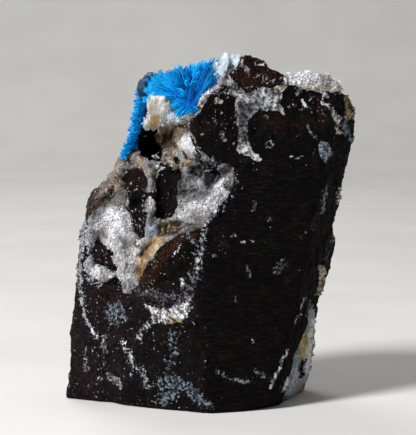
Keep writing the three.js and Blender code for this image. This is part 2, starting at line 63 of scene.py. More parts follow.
def aimed(name, data, place, facing):
    """A camera or light at a place, facing one way."""
    made = placed(name, data)
    made.location = place
    made.rotation_mode = "QUATERNION"
    made.rotation_quaternion = facing.to_track_quat("-Z", "Y")
    return made


# ---- camera and front grid

GRID = 0.19
GRID_SIZE = (416, 435)
TARGET = np.array([-0.55, 0.39, 34.3])
DISTANCE = 400.0
ELEVATION = math.radians(5.0)
SENSOR = 36.0
CLIP = (0.01, 20.0)  # nearest and furthest distance in metres that the camera sees

FORWARD = np.array([0.0, math.cos(ELEVATION), -math.sin(ELEVATION)])
UPWARD = np.array([0.0, math.sin(ELEVATION), math.cos(ELEVATION)])
RIGHTWARD = np.array([1.0, 0.0, 0.0])
EYE = TARGET - FORWARD * DISTANCE


def on_front_grid(points):
    """[column, row] of each point, as the camera sees it."""
    offset = points - EYE
    step = DISTANCE / GRID / (offset @ FORWARD)
    columns = GRID_SIZE[0] / 2 + (offset @ RIGHTWARD) * step
    rows = GRID_SIZE[1] / 2 - (offset @ UPWARD) * step
    return np.stack([columns, rows], axis=1)


def at_grid(column, row, y):
    """The point at depth y that the camera sees at a place of the front grid."""
    across = RIGHTWARD * (column - GRID_SIZE[0] / 2) + UPWARD * (GRID_SIZE[1] / 2 - row)
    ray = FORWARD + across * GRID / DISTANCE
    return EYE + ray * (y - EYE[1]) / ray[1]


def make_camera():
    """The camera that sees the front grid from edge to edge."""
    data = bpy.data.cameras.new("camera")
    data.sensor_width = SENSOR
    data.lens = SENSOR * DISTANCE / (max(GRID_SIZE) * GRID)
    data.clip_start, data.clip_end = CLIP
    bpy.context.scene.camera = aimed("camera", data, Vector(EYE * MM), Vector(FORWARD))


# ---- small tools


def linear(code):
    """A colour written as rrggbb, in linear light."""
    values = np.array([int(code[i : i + 2], 16) for i in (0, 2, 4)]) / 255
    return np.where(values <= 0.04045, values / 12.92, ((values + 0.055) / 1.055) ** 2.4)


def unit(vectors):
    """Each vector made one long."""
    return vectors / np.linalg.norm(vectors, axis=-1, keepdims=True)


def smooth(low, high, values):
    """0 at low, 1 at high, with a soft step between them."""
    share = np.clip((values - low) / (high - low), 0, 1)
    return share * share * (3 - 2 * share)


# Large numbers without a pattern, which mix a cell's place and seed, and the bits that are kept.
CELL_MIX = (73856093, 19349663, 83492791, 2654435761)
WORD_MIX = {13: 1274126177, 15: 2246822519}
WORD = 0xFFFFFFFF
HALF_WORD = 0xFFFF


def hashed(cells, seed):
    """An even value in 0..1 for every whole-numbered cell."""
    mixed = seed * CELL_MIX[3]
    for axis in range(3):
        mixed = mixed ^ cells[:, axis] * CELL_MIX[axis]
    for shift, factor in WORD_MIX.items():
        mixed = (mixed ^ (mixed >> shift)) * factor & WORD
    return (mixed >> 8 & HALF_WORD) / HALF_WORD


SEED_SHIFT = 7.31  # how far the pattern of one seed lies from that of the next


def noise(points, size, seed=0):
    """Smooth noise in -1..1 with swells about a size apart."""
    scaled = points / size + SEED_SHIFT * seed
    cells = np.floor(scaled).astype(np.int64)
    share = smooth(0, 1, scaled - cells)
    total = np.zeros(len(points))
    for corner in itertools.product((0, 1), repeat=3):
        weight = np.prod(np.where(corner, share, 1 - share), axis=1)
        total += weight * hashed(cells + np.array(corner), seed)
    return 2 * total - 1


def rough(points, size, octaves, seed=0):
    """Noise of several sizes, each half as large and half as strong as the one before."""
    return sum(0.5**i * noise(points, size * 0.5**i, seed + i) for i in range(octaves))


def layered(points, layers):
    """The sum of several noises, from the strength, size and seed of each."""
    return sum(strength * noise(points, size, seed) for strength, size, seed in layers)


def chips(points, size, seed=0):
    """Height of a chipped surface: cells about a size wide, each with a flat face of its own lean."""
    scaled = points / size
    home = np.floor(scaled).astype(np.int64)
    nearest = np.full(len(points), np.inf)
    height = np.zeros(len(points))
    for step in itertools.product((-1, 0, 1), repeat=3):
        cells = home + np.array(step)
        jitter = np.stack([hashed(cells, seed + i) for i in range(3)], axis=1)
        lean = np.stack([hashed(cells, seed + 3 + i) for i in range(3)], axis=1) - 0.5
        away = scaled - cells - jitter
        distance = np.linalg.norm(away, axis=1)
        closer = distance < nearest
        nearest = np.where(closer, distance, nearest)
        height = np.where(closer, np.sum(lean * away, axis=1), height)
    return height


def distance_to_line(places, route):
    """Distance from each place to a line through the points of a route."""
    route = np.array(route, float)
    nearest = np.full(len(places), np.inf)
    for start, end in zip(route, route[1:]):
        along = end - start
        share = np.clip((places - start) @ along / (along @ along), 0, 1)
        nearest = np.minimum(nearest, np.linalg.norm(places - start - share[:, None] * along, axis=1))
    return nearest


def depth_in_outline(places, outline):
    """Distance inside a closed outline, negative outside it."""
    corners = np.array(outline, float)
    inside = np.zeros(len(places), bool)
    for (x1, y1), (x2, y2) in zip(corners, np.roll(corners, -1, axis=0)):
        if y1 == y2:
            continue
        crosses = (y1 > places[:, 1]) != (y2 > places[:, 1])
        inside ^= crosses & (places[:, 0] < x1 + (places[:, 1] - y1) * (x2 - x1) / (y2 - y1))
    edge = distance_to_line(places, np.vstack([corners, corners[:1]]))
    return np.where(inside, edge, -edge)


# ---- meshes


class Shape:
    """Vertices in millimetres, faces with four corners each, and values held by the vertices."""

    def __init__(self, points, faces, values=None, flat=False):
        self.points = points
        self.faces = faces
        self.values = values or {}
        self.flat = flat


WELD_WITHIN = 0.001  # corners nearer to each other than this are one
SMOOTHING = 0.5  # how far one round of smoothing moves a corner to the middle of its neighbours


def remeshed(mesh, voxel, smoothing):
    """A mesh's surface with even small faces and softened facets."""
    copy = placed("copy", mesh)
    weld = copy.modifiers.new("weld", "WELD")
    weld.merge_threshold = WELD_WITHIN * MM
    remesh = copy.modifiers.new("remesh", "REMESH")
    remesh.mode = "VOXEL"
    remesh.voxel_size = voxel * MM
    soften = copy.modifiers.new("soften", "SMOOTH")
    soften.iterations = smoothing
    soften.factor = SMOOTHING
    made = copy.evaluated_get(bpy.context.evaluated_depsgraph_get()).to_mesh()
    points = np.empty(len(made.vertices) * 3)
    made.vertices.foreach_get("co", points)
    corners = np.empty(len(made.loops), np.int64)
    made.loops.foreach_get("vertex_index", corners)
    bpy.data.objects.remove(copy)
    return Shape(points.reshape(-1, 3) / MM, corners.reshape(-1, 4))


def from_node(node, voxel, smoothing):
    """A CAD node as a finely meshed shape."""
    return remeshed(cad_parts[node].data, voxel, smoothing)


def joined(shapes):
    """One mesh of several shapes, in metres."""
    points = np.vstack([shape.points for shape in shapes]) * MM
    starts = np.cumsum([0] + [len(shape.points) for shape in shapes])
    faces = [list(face) for shape, start in zip(shapes, starts) for face in (shape.faces + start).tolist()]
    mesh = bpy.data.meshes.new("joined")
    mesh.from_pydata(points, [], faces)
    return mesh


def fused(shapes, voxel, smoothing):
    """Several shapes grown into one."""
    mesh = joined(shapes)
    shape = remeshed(mesh, voxel, smoothing)
    bpy.data.meshes.remove(mesh)
    return shape


def normals_of(shape):
    """The direction out of the surface at each vertex, weighted by the size of the faces round it."""
    corners = shape.points[shape.faces]
    across = np.cross(corners[:, 2] - corners[:, 0], corners[:, 3] - corners[:, 1])
    total = np.zeros_like(shape.points)
    for i in range(4):
        np.add.at(total, shape.faces[:, i], across)
    return total / np.maximum(np.linalg.norm(total, axis=1, keepdims=True), 1e-12)


def softened(shape, values, rounds):
    """Values of the vertices, each evened out with its neighbours."""
    shares = np.bincount(shape.faces.ravel(), minlength=len(values))
    for _ in range(rounds):
        means = values[shape.faces].mean(axis=1)
        values = np.bincount(shape.faces.ravel(), np.repeat(means, 4), len(values)) / np.maximum(shares, 1)
    return values


REACH = 3.6  # the furthest that a crust stands over the rock
NEAR = 1.0  # how far outside the box of a crust's node the rock is searched for it
EVENED = 8  # rounds that even out the depth of a crust


def standing_over(shape, normals, node):
    """How far the surface of a CAD node stands over each vertex, 0 where there is none of it."""
    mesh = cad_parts[node].data
    corners = [vertex.co / MM for vertex in mesh.vertices]
    tree = BVHTree.FromPolygons(corners, [list(face.vertices) for face in mesh.polygons])
    low, high = (np.array(corner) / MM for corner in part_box(node))
    near = np.flatnonzero(((shape.points > low - NEAR) & (shape.points < high + NEAR)).all(axis=1))
    depth = np.zeros(len(shape.points))
    for i in near:
        start = Vector(shape.points[i] + normals[i] * REACH)
        _, _, _, distance = tree.ray_cast(start, Vector(-normals[i]), REACH)
        if distance is not None:
            depth[i] = REACH - distance
    return softened(shape, depth, EVENED)


def part_of(shape, normals, kept):
    """The faces of a shape whose vertices are all kept, their normals, and which vertices they use."""
    faces = shape.faces[kept[shape.faces].all(axis=1)]
    used, faces = np.unique(faces, return_inverse=True)
    values = {key: column[used] for key, column in shape.values.items()}
    return Shape(shape.points[used], faces.reshape(-1, 4), values), normals[used], used


def closed(shape, under):
    """A surface made solid with a second one under it."""
    count = len(shape.points)
    starts = shape.faces.ravel()
    ends = np.roll(shape.faces, -1, axis=1).ravel()
    border = ~np.isin(starts * count + ends, ends * count + starts)
    starts, ends = starts[border], ends[border]
    sides = np.stack([ends, starts, starts + count, ends + count], axis=1)
    faces = np.vstack([shape.faces, shape.faces[:, ::-1] + count, sides])
    values = {key: np.concatenate([column, column]) for key, column in shape.values.items()}
    return Shape(np.vstack([shape.points, under]), faces, values)


def make_piece(name, node, shapes, material):
    """One mesh object of several shapes, attached to the root, which stands in for a CAD node and hides it."""
    mesh = joined(shapes)
    mesh.name = name
    for key in shapes[0].values:
        column = np.concatenate([shape.values[key] for shape in shapes])
        if column.ndim == 2:
            column = np.hstack([column, np.ones((len(column), 1))])
            mesh.attributes.new(key, "FLOAT_COLOR", "POINT").data.foreach_set("color", column.ravel())
        else:
            mesh.attributes.new(key, "FLOAT", "POINT").data.foreach_set("value", column)
    smooth_faces = np.concatenate([np.full(len(shape.faces), not shape.flat) for shape in shapes])
    mesh.polygons.foreach_set("use_smooth", smooth_faces)
    mesh.materials.append(material)
    mesh.validate()
    piece = placed(name, mesh)
    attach(piece, "root")
    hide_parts(node)


def turned_to(axes, spins):
    """A frame [side, thickness, axis] for each axis, turned about it by its spin."""
    helper = np.where(np.abs(axes[:, 2:3]) < 0.9, np.array([[0.0, 0.0, 1.0]]), np.array([[1.0, 0.0, 0.0]]))
    side = unit(np.cross(helper, axes))
    other = np.cross(axes, side)
    cos, sin = np.cos(spins)[:, None], np.sin(spins)[:, None]
    return np.stack([side * cos + other * sin, other * cos - side * sin, axes], axis=1)


# A crystal's rings from root to tip: [height, width] as shares of its length and width.
BLADE = [(0.0, 0.2), (0.45, 0.95), (0.85, 1.0), (1.0, 0.45)]
BLOCK = [(0.0, 0.9), (0.75, 1.0), (1.0, 0.6)]
FIBRE = [(0.0, 0.5), (0.7, 1.0), (1.0, 0.35)]
# The corners of a ring as shares of its width and thickness, and the two corners of each side.
CORNERS = [(0.5, 0.0), (0.0, 0.5), (-0.5, 0.0), (0.0, -0.5)]
SIDES = [(0, 1), (1, 2), (2, 3), (3, 0)]


def crystals(places, axes, spins, widths, thicknesses, lengths, rings, values):
    """Many four-sided crystals as one shape."""
    frames = turned_to(axes, spins)
    points = []
    for (height, width), (x, y) in itertools.product(rings, CORNERS):
        local = np.stack([x * width * widths, y * width * thicknesses, height * lengths], axis=1)
        points.append(places + np.einsum("ni,nij->nj", local, frames))
    points = np.stack(points, axis=1)
    last = 4 * (len(rings) - 1)
    rows = [[ring + i, ring + j, ring + 4 + j, ring + 4 + i] for ring in range(0, last, 4) for i, j in SIDES]
    rows += [[last, last + 1, last + 2, last + 3], [3, 2, 1, 0]]
    count = last + 4
    faces = np.array(rows)[None] + (np.arange(len(places)) * count)[:, None, None]
    held = {key: np.repeat(column, count, axis=0) for key, column in values.items()}
    return Shape(points.reshape(-1, 3), faces.reshape(-1, 4), held, flat=True)


def scattered(shape, weight, count, seed):
    """Vertices of a shape picked at random, more of them where the weight is larger."""
    random = np.random.default_rng(seed)
    chance = np.maximum(weight, 0)
    count = min(count, np.count_nonzero(chance))
    return random.choice(len(shape.points), count, replace=False, p=chance / chance.sum()), random


LEAN = 0.5  # how far small crystals lean, as a share of their length
SINK = 0.35  # how deep they are sunk, as a share of their size


def grown(shape, normals, picked, random, size, tinted="zeolite", rings=BLOCK):
    """Small crystals on the picked vertices, with their hosts' values and a tone of their own."""
    count = len(picked)
    axes = unit(normals[picked] + LEAN * random.normal(size=(count, 3)))
    sizes = size * random.lognormal(0.0, 0.35, count)
    values = {key: column[picked].copy() for key, column in shape.values.items()}
    values[tinted] *= random.uniform(0.85, 1.2, count)[:, None]
    places = shape.points[picked] - axes * (SINK * sizes)[:, None]
    spins = random.uniform(0, math.tau, count)
    return crystals(places, axes, spins, sizes, 0.7 * sizes, 1.15 * sizes, rings, values)


# ---- painting

# Each rock tone has its colour and how thickly it is strewn with pale specks.
ROCK = {
    "face": (linear("070709"), 0.22),
    "low face": (linear("070607"), 0.12),
    "purple": (linear("140f12"), 0.34),
    "red": (linear("21130f"), 0.42),
    "bright red": (linear("23140f"), 0.42),
    "brown": (linear("150e0c"), 0.36),
    "dark": (linear("0a0809"), 0.32),
    "umber": (linear("120b09"), 0.38),
    "black": (linear("070607"), 0.45),
    "shoulder": (linear("2e2723"), 0.3),
    # The pit tone is painted shade: near black, with no specks, where the surface is sunk deep.
    "pit": (linear("040303"), 0.0),
}
# Rock that keeps clear of the druse's fringe.
CLASTS = {"red", "bright red", "brown", "umber", "dark", "black", "pit"}
ZEOLITE = {
    "white": linear("dddde1"),
    "pale": linear("a3a4aa"),
    "grey": linear("5c5b5e"),
    "glass": linear("2b292b"),
    "cream": linear("cfc2ab"),
    "beige": linear("8e7f74"),
    "tan": linear("574c3d"),
    "orange": linear("a28360"),
    "golden": linear("4a3924"),
    "yellow": linear("aa9c70"),
    "olive": linear("8d8455"),
    "blue": linear("78838f"),
    "ice": linear("a2adba"),
}


def area(tone, *outline, edge=2.0, cover=1.0):
    """A mark that fills an outline on the front grid."""
    return {"tone": tone, "outline": outline, "edge": edge, "cover": cover}


def line(tone, half_width, *points, edge=2.0, cover=1.0):
    """A mark along a line on the front grid."""
    return {"tone": tone, "half_width": half_width, "points": points, "edge": edge, "cover": cover}


def share_in_mark(places, mark):
    """How far each place is inside a mark: 0 outside, 1 inside, soft across its edge."""
    if "outline" in mark:
        depth = depth_in_outline(places, mark["outline"])
    else:
        depth = mark["half_width"] - distance_to_line(places, mark["points"])
    return smooth(-mark["edge"], mark["edge"], depth)


# Outlines on the front grid that several lists of marks share.
HOLE = [(135, 133), (139, 128), (151, 129), (157, 139), (162, 150), (160, 161), (149, 160), (140, 151)]
NODULE = [(181, 139), (187, 135), (194, 137), (198, 144), (197, 155), (191, 158), (184, 155), (180, 148)]
UPPER_CLAST = [(124, 180), (131, 168), (138, 167), (146, 176), (146, 186), (138, 190), (128, 187)]
TALL_CLAST = [(157, 180), (162, 173), (178, 168), (182, 172), (176, 184), (178, 206), (172, 218), (157, 219),
              (153, 213), (157, 204)]
MIDDLE_CLAST = [(131, 200), (137, 201), (141, 211), (147, 213), (147, 221), (143, 227), (145, 238),
                (138, 240), (132, 231), (129, 215)]
LEFT_CLAST = [(97, 236), (102, 245), (108, 252), (114, 261), (119, 268), (114, 273), (106, 267), (93, 264),
              (91, 252)]
LOW_CLAST = [(109, 279), (115, 275), (121, 280), (125, 296), (98, 296), (100, 288)]
SHOULDER_CLAST = [(93, 198), (104, 188), (114, 186), (117, 194), (109, 203), (100, 213), (91, 220), (88, 210)]

# Tones of the rock on the front. Later marks lie over earlier ones.
ROCK_MARKS = [
    area("low face", (200, 230), (330, 170), (360, 420), (190, 425), edge=30),
    area("purple", (50, 270), (140, 282), (190, 292), (203, 330), (206, 425), (50, 425), edge=8),
    area("dark", (140, 320), (200, 320), (215, 425), (120, 425), edge=12),
    area("shoulder", (78, 175), (118, 172), (120, 188), (106, 204), (90, 235), (76, 240), edge=5),
    area("red", (229, 72), (232, 65), (237, 55), (246, 53), (262, 57), (270, 67), (286, 76), (281, 85),
         (264, 88), (247, 91), (237, 84), (229, 78), edge=1.5),
    area("dark", (187, 131), (188, 124), (200, 118), (204, 103), (211, 91), (225, 85), (231, 89),
         (234, 108), (238, 142), (237, 151), (222, 152), (206, 147), (190, 137), edge=1.5),
    area("brown", (188, 125), (203, 119), (212, 122), (205, 140), (190, 136), edge=3),
    area("black", (281, 109), (280, 96), (284, 88), (294, 83), (303, 85), (313, 90), (314, 104), (309, 112),
         (290, 112), edge=1.5),
    area("brown", (311, 90), (321, 90), (324, 100), (332, 110), (333, 124), (320, 124), (312, 110)),
    area("brown", (329, 92), (334, 88), (347, 88), (347, 98), (342, 104), (330, 103), edge=1.5),
    area("brown", (255, 114), (275, 113), (300, 120), (320, 118), (326, 130), (300, 136), (262, 130),
         edge=6),
    # A short line painted near black as painted shade.
    line("pit", 2.4, (289, 153), (294, 154), (299, 153), edge=1.5),
    area("brown", (240, 153), (250, 153), (251, 160), (241, 162), edge=1.5),
    area("bright red", (141, 285), (140, 279), (152, 268), (157, 256), (170, 241), (183, 226), (199, 224),
         (204, 227), (197, 236), (195, 256), (190, 266), (176, 279), (158, 287)),
    area("dark", (152, 287), (160, 270), (173, 256), (184, 240), (195, 237), (196, 250), (192, 262),
         (180, 275), edge=3),
    area("dark", *TALL_CLAST),
    area("umber", *UPPER_CLAST, edge=3),
    area("umber", *MIDDLE_CLAST, edge=3),
    area("brown", *LEFT_CLAST, edge=3),
    area("shoulder", *SHOULDER_CLAST, edge=3),
    area("brown", *LOW_CLAST, edge=3),
    # The deep hole, painted near black as painted shade.
    area("pit", *HOLE, edge=1.5),
]

# Where zeolite fills or coats the rock on the front.
COVER_MARKS = [
    area("pale", (218, 72), (229, 72), (240, 87), (247, 92), (260, 89), (277, 88), (288, 81), (281, 97),
         (283, 112), (270, 112), (258, 109), (249, 119), (247, 133), (252, 148), (263, 160), (257, 163),
         (243, 153), (237, 150), (239, 142), (235, 118), (234, 100), (231, 88), (220, 84), edge=1.5,
         cover=0.82),
    area("grey", (237, 104), (250, 103), (254, 110), (247, 119), (245, 140), (239, 140), edge=4, cover=0.7),
    area("pale", (197, 114), (201, 100), (205, 90), (212, 80), (222, 70), (231, 72), (233, 88), (225, 85),
         (213, 89), (205, 102), (199, 115), edge=1.5, cover=0.9),
    line("white", 4, (234, 92), (240, 97), (246, 97), edge=3),
    line("white", 3, (263, 90), (264, 96)),
    line("white", 2.5, (269, 100), (280, 97), edge=1.5),
    line("white", 1.8, (274, 104), (275, 110), edge=1.5),
    line("white", 2, (279, 109), (283, 111), edge=1.5),
    line("cream", 2, (278, 91), (285, 85)),
    line("white", 3, (244, 148), (252, 154), (258, 160)),
    area("tan", (160, 122), (188, 120), (188, 133), (181, 146), (164, 146), edge=4, cover=0.75),
    area("beige", (162, 146), (182, 146), (190, 168), (178, 170), (160, 164), edge=4, cover=0.85),
    line("white", 2.6, (167, 148), (172, 158), edge=3, cover=0.85),
    line("orange", 3, (180, 156), (186, 166), edge=3, cover=0.9),
    # Painted glints: the next two small pale and white marks.
    line("pale", 1.6, (176, 196), (177, 198), edge=1.5),
    line("white", 0.8, (145, 136), (146, 136), edge=0.8),
    area("white", (283, 70), (345, 70), (345, 88), (303, 87), (297, 84), (283, 85), edge=1.5),
    line("cream", 1.6, (300, 87), (318, 89), (342, 88), edge=1.2),
    line("pale", 2.5, (294, 89), (300, 92), (296, 95), cover=0.6),
    line("white", 2.4, (302, 101), (306, 107), edge=1.5, cover=0.75),
    line("white", 3, (322, 92), (327, 97), edge=1.5, cover=0.8),
    line("white", 2.2, (321, 101), (329, 107), edge=1.5, cover=0.8),
    line("white", 4, (334, 112), (337, 120), edge=1.5, cover=0.85),
    line("cream", 2.2, (336, 124), (339, 132), edge=1.5, cover=0.8),
    line("yellow", 4, (348, 98), (351, 106), (349, 116), edge=1.5),
    line("orange", 2, (351, 104), (352, 112), edge=1.5),
    line("blue", 4, (345, 124), (347, 132), (351, 139), cover=0.7),
    area("ice", (320, 140), (325, 141), (332, 146), (331, 156), (328, 166), (324, 160), (319, 152),
         edge=1.5, cover=0.85),
    line("blue", 2.2, (307, 128), (316, 138), edge=1.5, cover=0.62),
    line("pale", 0.9, (290, 158), (297, 158), (302, 155), edge=1, cover=0.75),
    line("blue", 2.2, (326, 185), (325, 198), (322, 212), cover=0.75),
    line("cream", 3.5, (341, 190), (340, 204), (338, 218), cover=0.8),
    line("pale", 3, (336, 224), (334, 240), cover=0.6),
    line("grey", 3, (331, 240), (326, 262), cover=0.5),
    line("cream", 3.5, (323, 268), (322, 282), cover=0.85),
    line("yellow", 2.6, (320, 284), (318, 294), cover=0.8),
    line("pale", 1.8, (305, 298), (299, 312), (294, 324), cover=0.7),
    line("pale", 1.4, (311, 300), (306, 316), cover=0.6),
    area("pale", (316, 318), (318, 335), (313, 360), (312, 400), (283, 409), (286, 390), (299, 371),
         (301, 350), (307, 332), edge=3, cover=0.72),
    line("yellow", 5, (307, 340), (304, 358), edge=4, cover=0.9),
    line("white", 2, (288, 350), (279, 368), (272, 388), cover=0.75),
    line("white", 1.8, (299, 362), (289, 378), (283, 392), cover=0.75),
    line("pale", 1.3, (274, 143), (272, 148), (267, 148), (265, 144), (268, 140), (272, 140), edge=1,
         cover=0.8),
    line("blue", 1.8, (264, 115), (267, 117), edge=1, cover=0.85),
    line("pale", 1.1, (290, 125), (291, 125), edge=1, cover=0.85),
    line("grey", 2.6, (253, 202), (254, 211), cover=0.72),
    line("grey", 2.4, (266, 217), (268, 220), (271, 219), cover=0.6),
    line("pale", 1.8, (233, 235), (236, 235), cover=0.8),
    line("pale", 1.8, (242, 241), (244, 242), cover=0.8),
    line("pale", 1.8, (252, 240), (254, 242), cover=0.8),
    line("white", 1.8, (212, 254), (215, 254), cover=0.8),
    line("grey", 3, (247, 268), (249, 275), cover=0.62),
    area("grey", (274, 262), (284, 257), (290, 262), (288, 270), (278, 276), (271, 274), edge=4, cover=0.58),
    line("pale", 1.6, (234, 300), (238, 297), cover=0.6),
    line("pale", 1.6, (251, 341), (252, 342), cover=0.8),
    line("grey", 3, (300, 238), (306, 232), cover=0.48),
    line("grey", 3, (312, 228), (316, 215), cover=0.48),
    line("grey", 8, (222, 232), (224, 246), cover=0.4, edge=5),
    line("pale", 5, (206, 230), (201, 246), (199, 262), (195, 278), edge=6, cover=0.64),
    line("pale", 5, (198, 268), (193, 284), (188, 300), edge=5, cover=0.66),
    line("grey", 9, (196, 274), (188, 290), (176, 304), edge=9, cover=0.56),
    line("white", 3, (199, 254), (197, 268), edge=4, cover=0.66),
    # A painted glint.
    line("white", 2, (180, 279), (184, 286), cover=0.72),
    line("white", 2, (174, 255), (182, 246), cover=0.6),
    line("pale", 3, (188, 232), (194, 243), cover=0.62),
    area("white", (145, 303), (165, 307), (184, 299), (192, 306), (188, 321), (165, 326), (150, 318),
         edge=7, cover=0.76),
    line("pale", 4, (155, 318), (146, 326), (138, 338), edge=5, cover=0.62),
    line("pale", 6, (130, 352), (134, 366), edge=6, cover=0.6),
    line("pale", 5, (141, 368), (146, 384), edge=5, cover=0.56),
    line("pale", 5, (110, 377), (120, 384), edge=3, cover=0.6),
    line("white", 4, (124, 341), (128, 352), edge=4, cover=0.56),
    line("yellow", 3, (168, 321), (180, 321), edge=3, cover=0.8),
    area("blue", (106, 300), (125, 299), (129, 318), (118, 329), (105, 320), edge=5, cover=0.56),
    line("pale", 2.6, (83, 300), (86, 318), (92, 332), (95, 339), edge=3, cover=0.66),
    line("white", 2.6, (90, 326), (94, 337), edge=3, cover=0.62),
    line("pale", 4, (86, 350), (85, 368), edge=3, cover=0.56),
    line("pale", 4, (103, 336), (105, 350), edge=3, cover=0.58),
    line("pale", 3.2, (84, 222), (81, 255), (80, 282), (82, 304), edge=4, cover=0.82),
    area("blue", (154, 376), (174, 370), (190, 380), (202, 392), (215, 402), (216, 413), (196, 408),
         (186, 398), (172, 406), (160, 412), (157, 396), edge=6, cover=0.56),
    line("blue", 6, (172, 334), (174, 352), (168, 368), edge=6, cover=0.52),
    line("blue", 4, (218, 371), (236, 382), (250, 381), edge=4, cover=0.56),
    line("blue", 4, (256, 372), (274, 380), edge=4, cover=0.54),
    line("grey", 6, (138, 291), (160, 299), (176, 296), edge=5, cover=0.56),
    line("cream", 3.2, (216, 100), (220, 101), edge=1.5),
    line("pale", 3.6, (222, 133), (225, 141), cover=0.66),
    line("pale", 3, (240, 66), (244, 72), (247, 75), cover=0.66),
    line("pale", 2.4, (257, 60), (263, 64), cover=0.6),
    line("white", 1.6, (257, 68), (263, 68), edge=1.2, cover=0.8),
    line("cream", 1.6, (265, 63), (269, 66), edge=1.2, cover=0.8),
    line("pale", 2.4, (256, 78), (268, 76), cover=0.5),
    line("pale", 4, (214, 92), (222, 89), (228, 93), edge=3, cover=0.5),
]

# Tones of the three crusts on the front. The crust is open where a rock tone is, and the rock shows there.
CRUST_MARKS = [
    area("beige", (108, 140), (131, 140), (141, 152), (143, 168), (132, 171), (124, 190), (108, 194),
         edge=3),
    line("grey", 3, (122, 176), (130, 160), (137, 156), edge=3),
    area("tan", (118, 178), (132, 166), (158, 170), (156, 216), (131, 206), (118, 204), edge=4),
    line("pale", 2.5, (149, 180), (151, 196), (148, 214), edge=3),
    line("pale", 3, (120, 196), (128, 204), edge=3),
    area("tan", (150, 126), (170, 121), (190, 121), (188, 134), (181, 140), (180, 152), (161, 152),
         (156, 140), edge=3),
    area("golden", (152, 130), (166, 130), (172, 140), (168, 150), (160, 148), edge=4),
    area("grey", (189, 150), (210, 153), (246, 148), (246, 196), (182, 196), (178, 172), edge=3),
    area("glass", (190, 165), (216, 163), (222, 176), (216, 186), (192, 188), edge=5),
    area("glass", (176, 176), (186, 172), (190, 186), (184, 196), (176, 194), edge=4),
    area("glass", (196, 150), (210, 153), (206, 160), (197, 159), edge=3),
    line("blue", 4, (157, 152), (160, 166), edge=3),
    area("beige", (162, 148), (176, 148), (178, 166), (166, 170), edge=3),
    # Painted glints: the next two small white marks.
    line("white", 2, (158, 167), (162, 164), edge=1.5),
    line("white", 2, (145, 174), (150, 173), edge=1.5),
    line("white", 2.5, (119, 201), (126, 201)),
    line("white", 2, (151, 198), (153, 207)),
    line("white", 3, (205, 157), (222, 160), (236, 158), edge=4),
    line("white", 2.5, (214, 188), (224, 182), (232, 172), edge=3),
    line("pale", 3, (194, 180), (204, 190), edge=3),
    area("white", (178, 212), (186, 206), (206, 200), (215, 190), (231, 194), (226, 212), (205, 224),
         (180, 221)),
    area("white", (97, 222), (106, 211), (114, 205), (130, 207), (131, 226), (136, 241), (151, 238),
         (150, 246), (136, 258), (134, 268), (124, 285), (113, 268), (108, 252), (101, 240)),
    area("white", (90, 270), (100, 264), (109, 267), (114, 276), (106, 284), (94, 284)),
    area("white", *NODULE, edge=1.5),
    line("cream", 1.5, (182, 144), (183, 152)),
    line("orange", 3.5, (184, 162), (188, 160), edge=3),
    line("white", 5, (206, 226), (216, 222), (222, 230), edge=4),
    line("orange", 1.8, (208, 222), (210, 224), edge=1.2),
    area("golden", (157, 220), (182, 220), (183, 226), (172, 238), (158, 236), edge=2.5),
    area("blue", (145, 220), (156, 219), (158, 234), (148, 236), edge=3),
    area("orange", (148, 240), (158, 236), (168, 238), (158, 252), (148, 264), (142, 280), (134, 280),
         (138, 258), edge=2.5),
    line("cream", 3, (158, 247), (148, 262), edge=2.5),
    area("pale", (165, 112), (192, 116), (205, 98), (222, 60), (238, 52), (240, 92), (214, 90), (200, 118),
         edge=3),
    area("white", (199, 106), (203, 94), (210, 84), (222, 76), (232, 80), (232, 88), (213, 90), (204, 104),
         edge=2.5),
    line("cream", 2, (225, 80), (229, 84)),
    line("cream", 8, (146, 122), (164, 124), edge=4),
    line("brown", 1.6, (184, 154), (187, 158), edge=1.2),
    line("brown", 2, (176, 158), (178, 168), edge=1.5),
    area("umber", *UPPER_CLAST, edge=1.5),
    area("umber", *MIDDLE_CLAST, edge=1.5),
    area("brown", *LEFT_CLAST, edge=1.5),
    area("shoulder", *SHOULDER_CLAST),
    area("dark", *TALL_CLAST, edge=1.5),
    area("brown", *LOW_CLAST, edge=1.5),
    line("beige", 2, (98, 196), (108, 188)),
    line("grey", 2.5, (88, 222), (98, 211), (106, 203)),
    # The deep hole, painted near black as painted shade.
    area("pit", *HOLE, edge=1.5),
    area("black", (282, 112), (281, 94), (286, 87), (296, 84), (303, 87), (313, 91), (321, 90), (322, 102),
         (310, 112), edge=1.2),
    area("brown", (329, 93), (334, 89), (350, 89), (347, 98), (342, 106), (330, 104), edge=1.2),
    area("blue", (278, 410), (290, 370), (306, 330), (322, 310), (322, 410), edge=3),
    area("olive", (299, 334), (311, 330), (310, 360), (299, 360), edge=2.5),
    area("beige", (298, 376), (312, 372), (310, 400), (290, 404), edge=5),
    area("dark", (299, 361), (309, 359), (307, 374), (297, 378)),
    area("white", (280, 64), (350, 64), (350, 92), (318, 92), (300, 88), (280, 86), edge=3),
    line("cream", 1.2, (288, 84), (302, 87), (318, 89), (340, 89), edge=1.8),
    line("white", 2, (314, 322), (311, 345), (306, 372), edge=3),
    line("pale", 2, (298, 372), (290, 392), edge=3),
    line("orange", 2, (304, 344), (303, 354), edge=3),
]

# Parts of the crust that are smooth, with no small crystals on them.
BARE_MARKS = [
    area("white", *NODULE),
    line("cream", 8, (160, 242), (148, 258), (138, 277)),
]

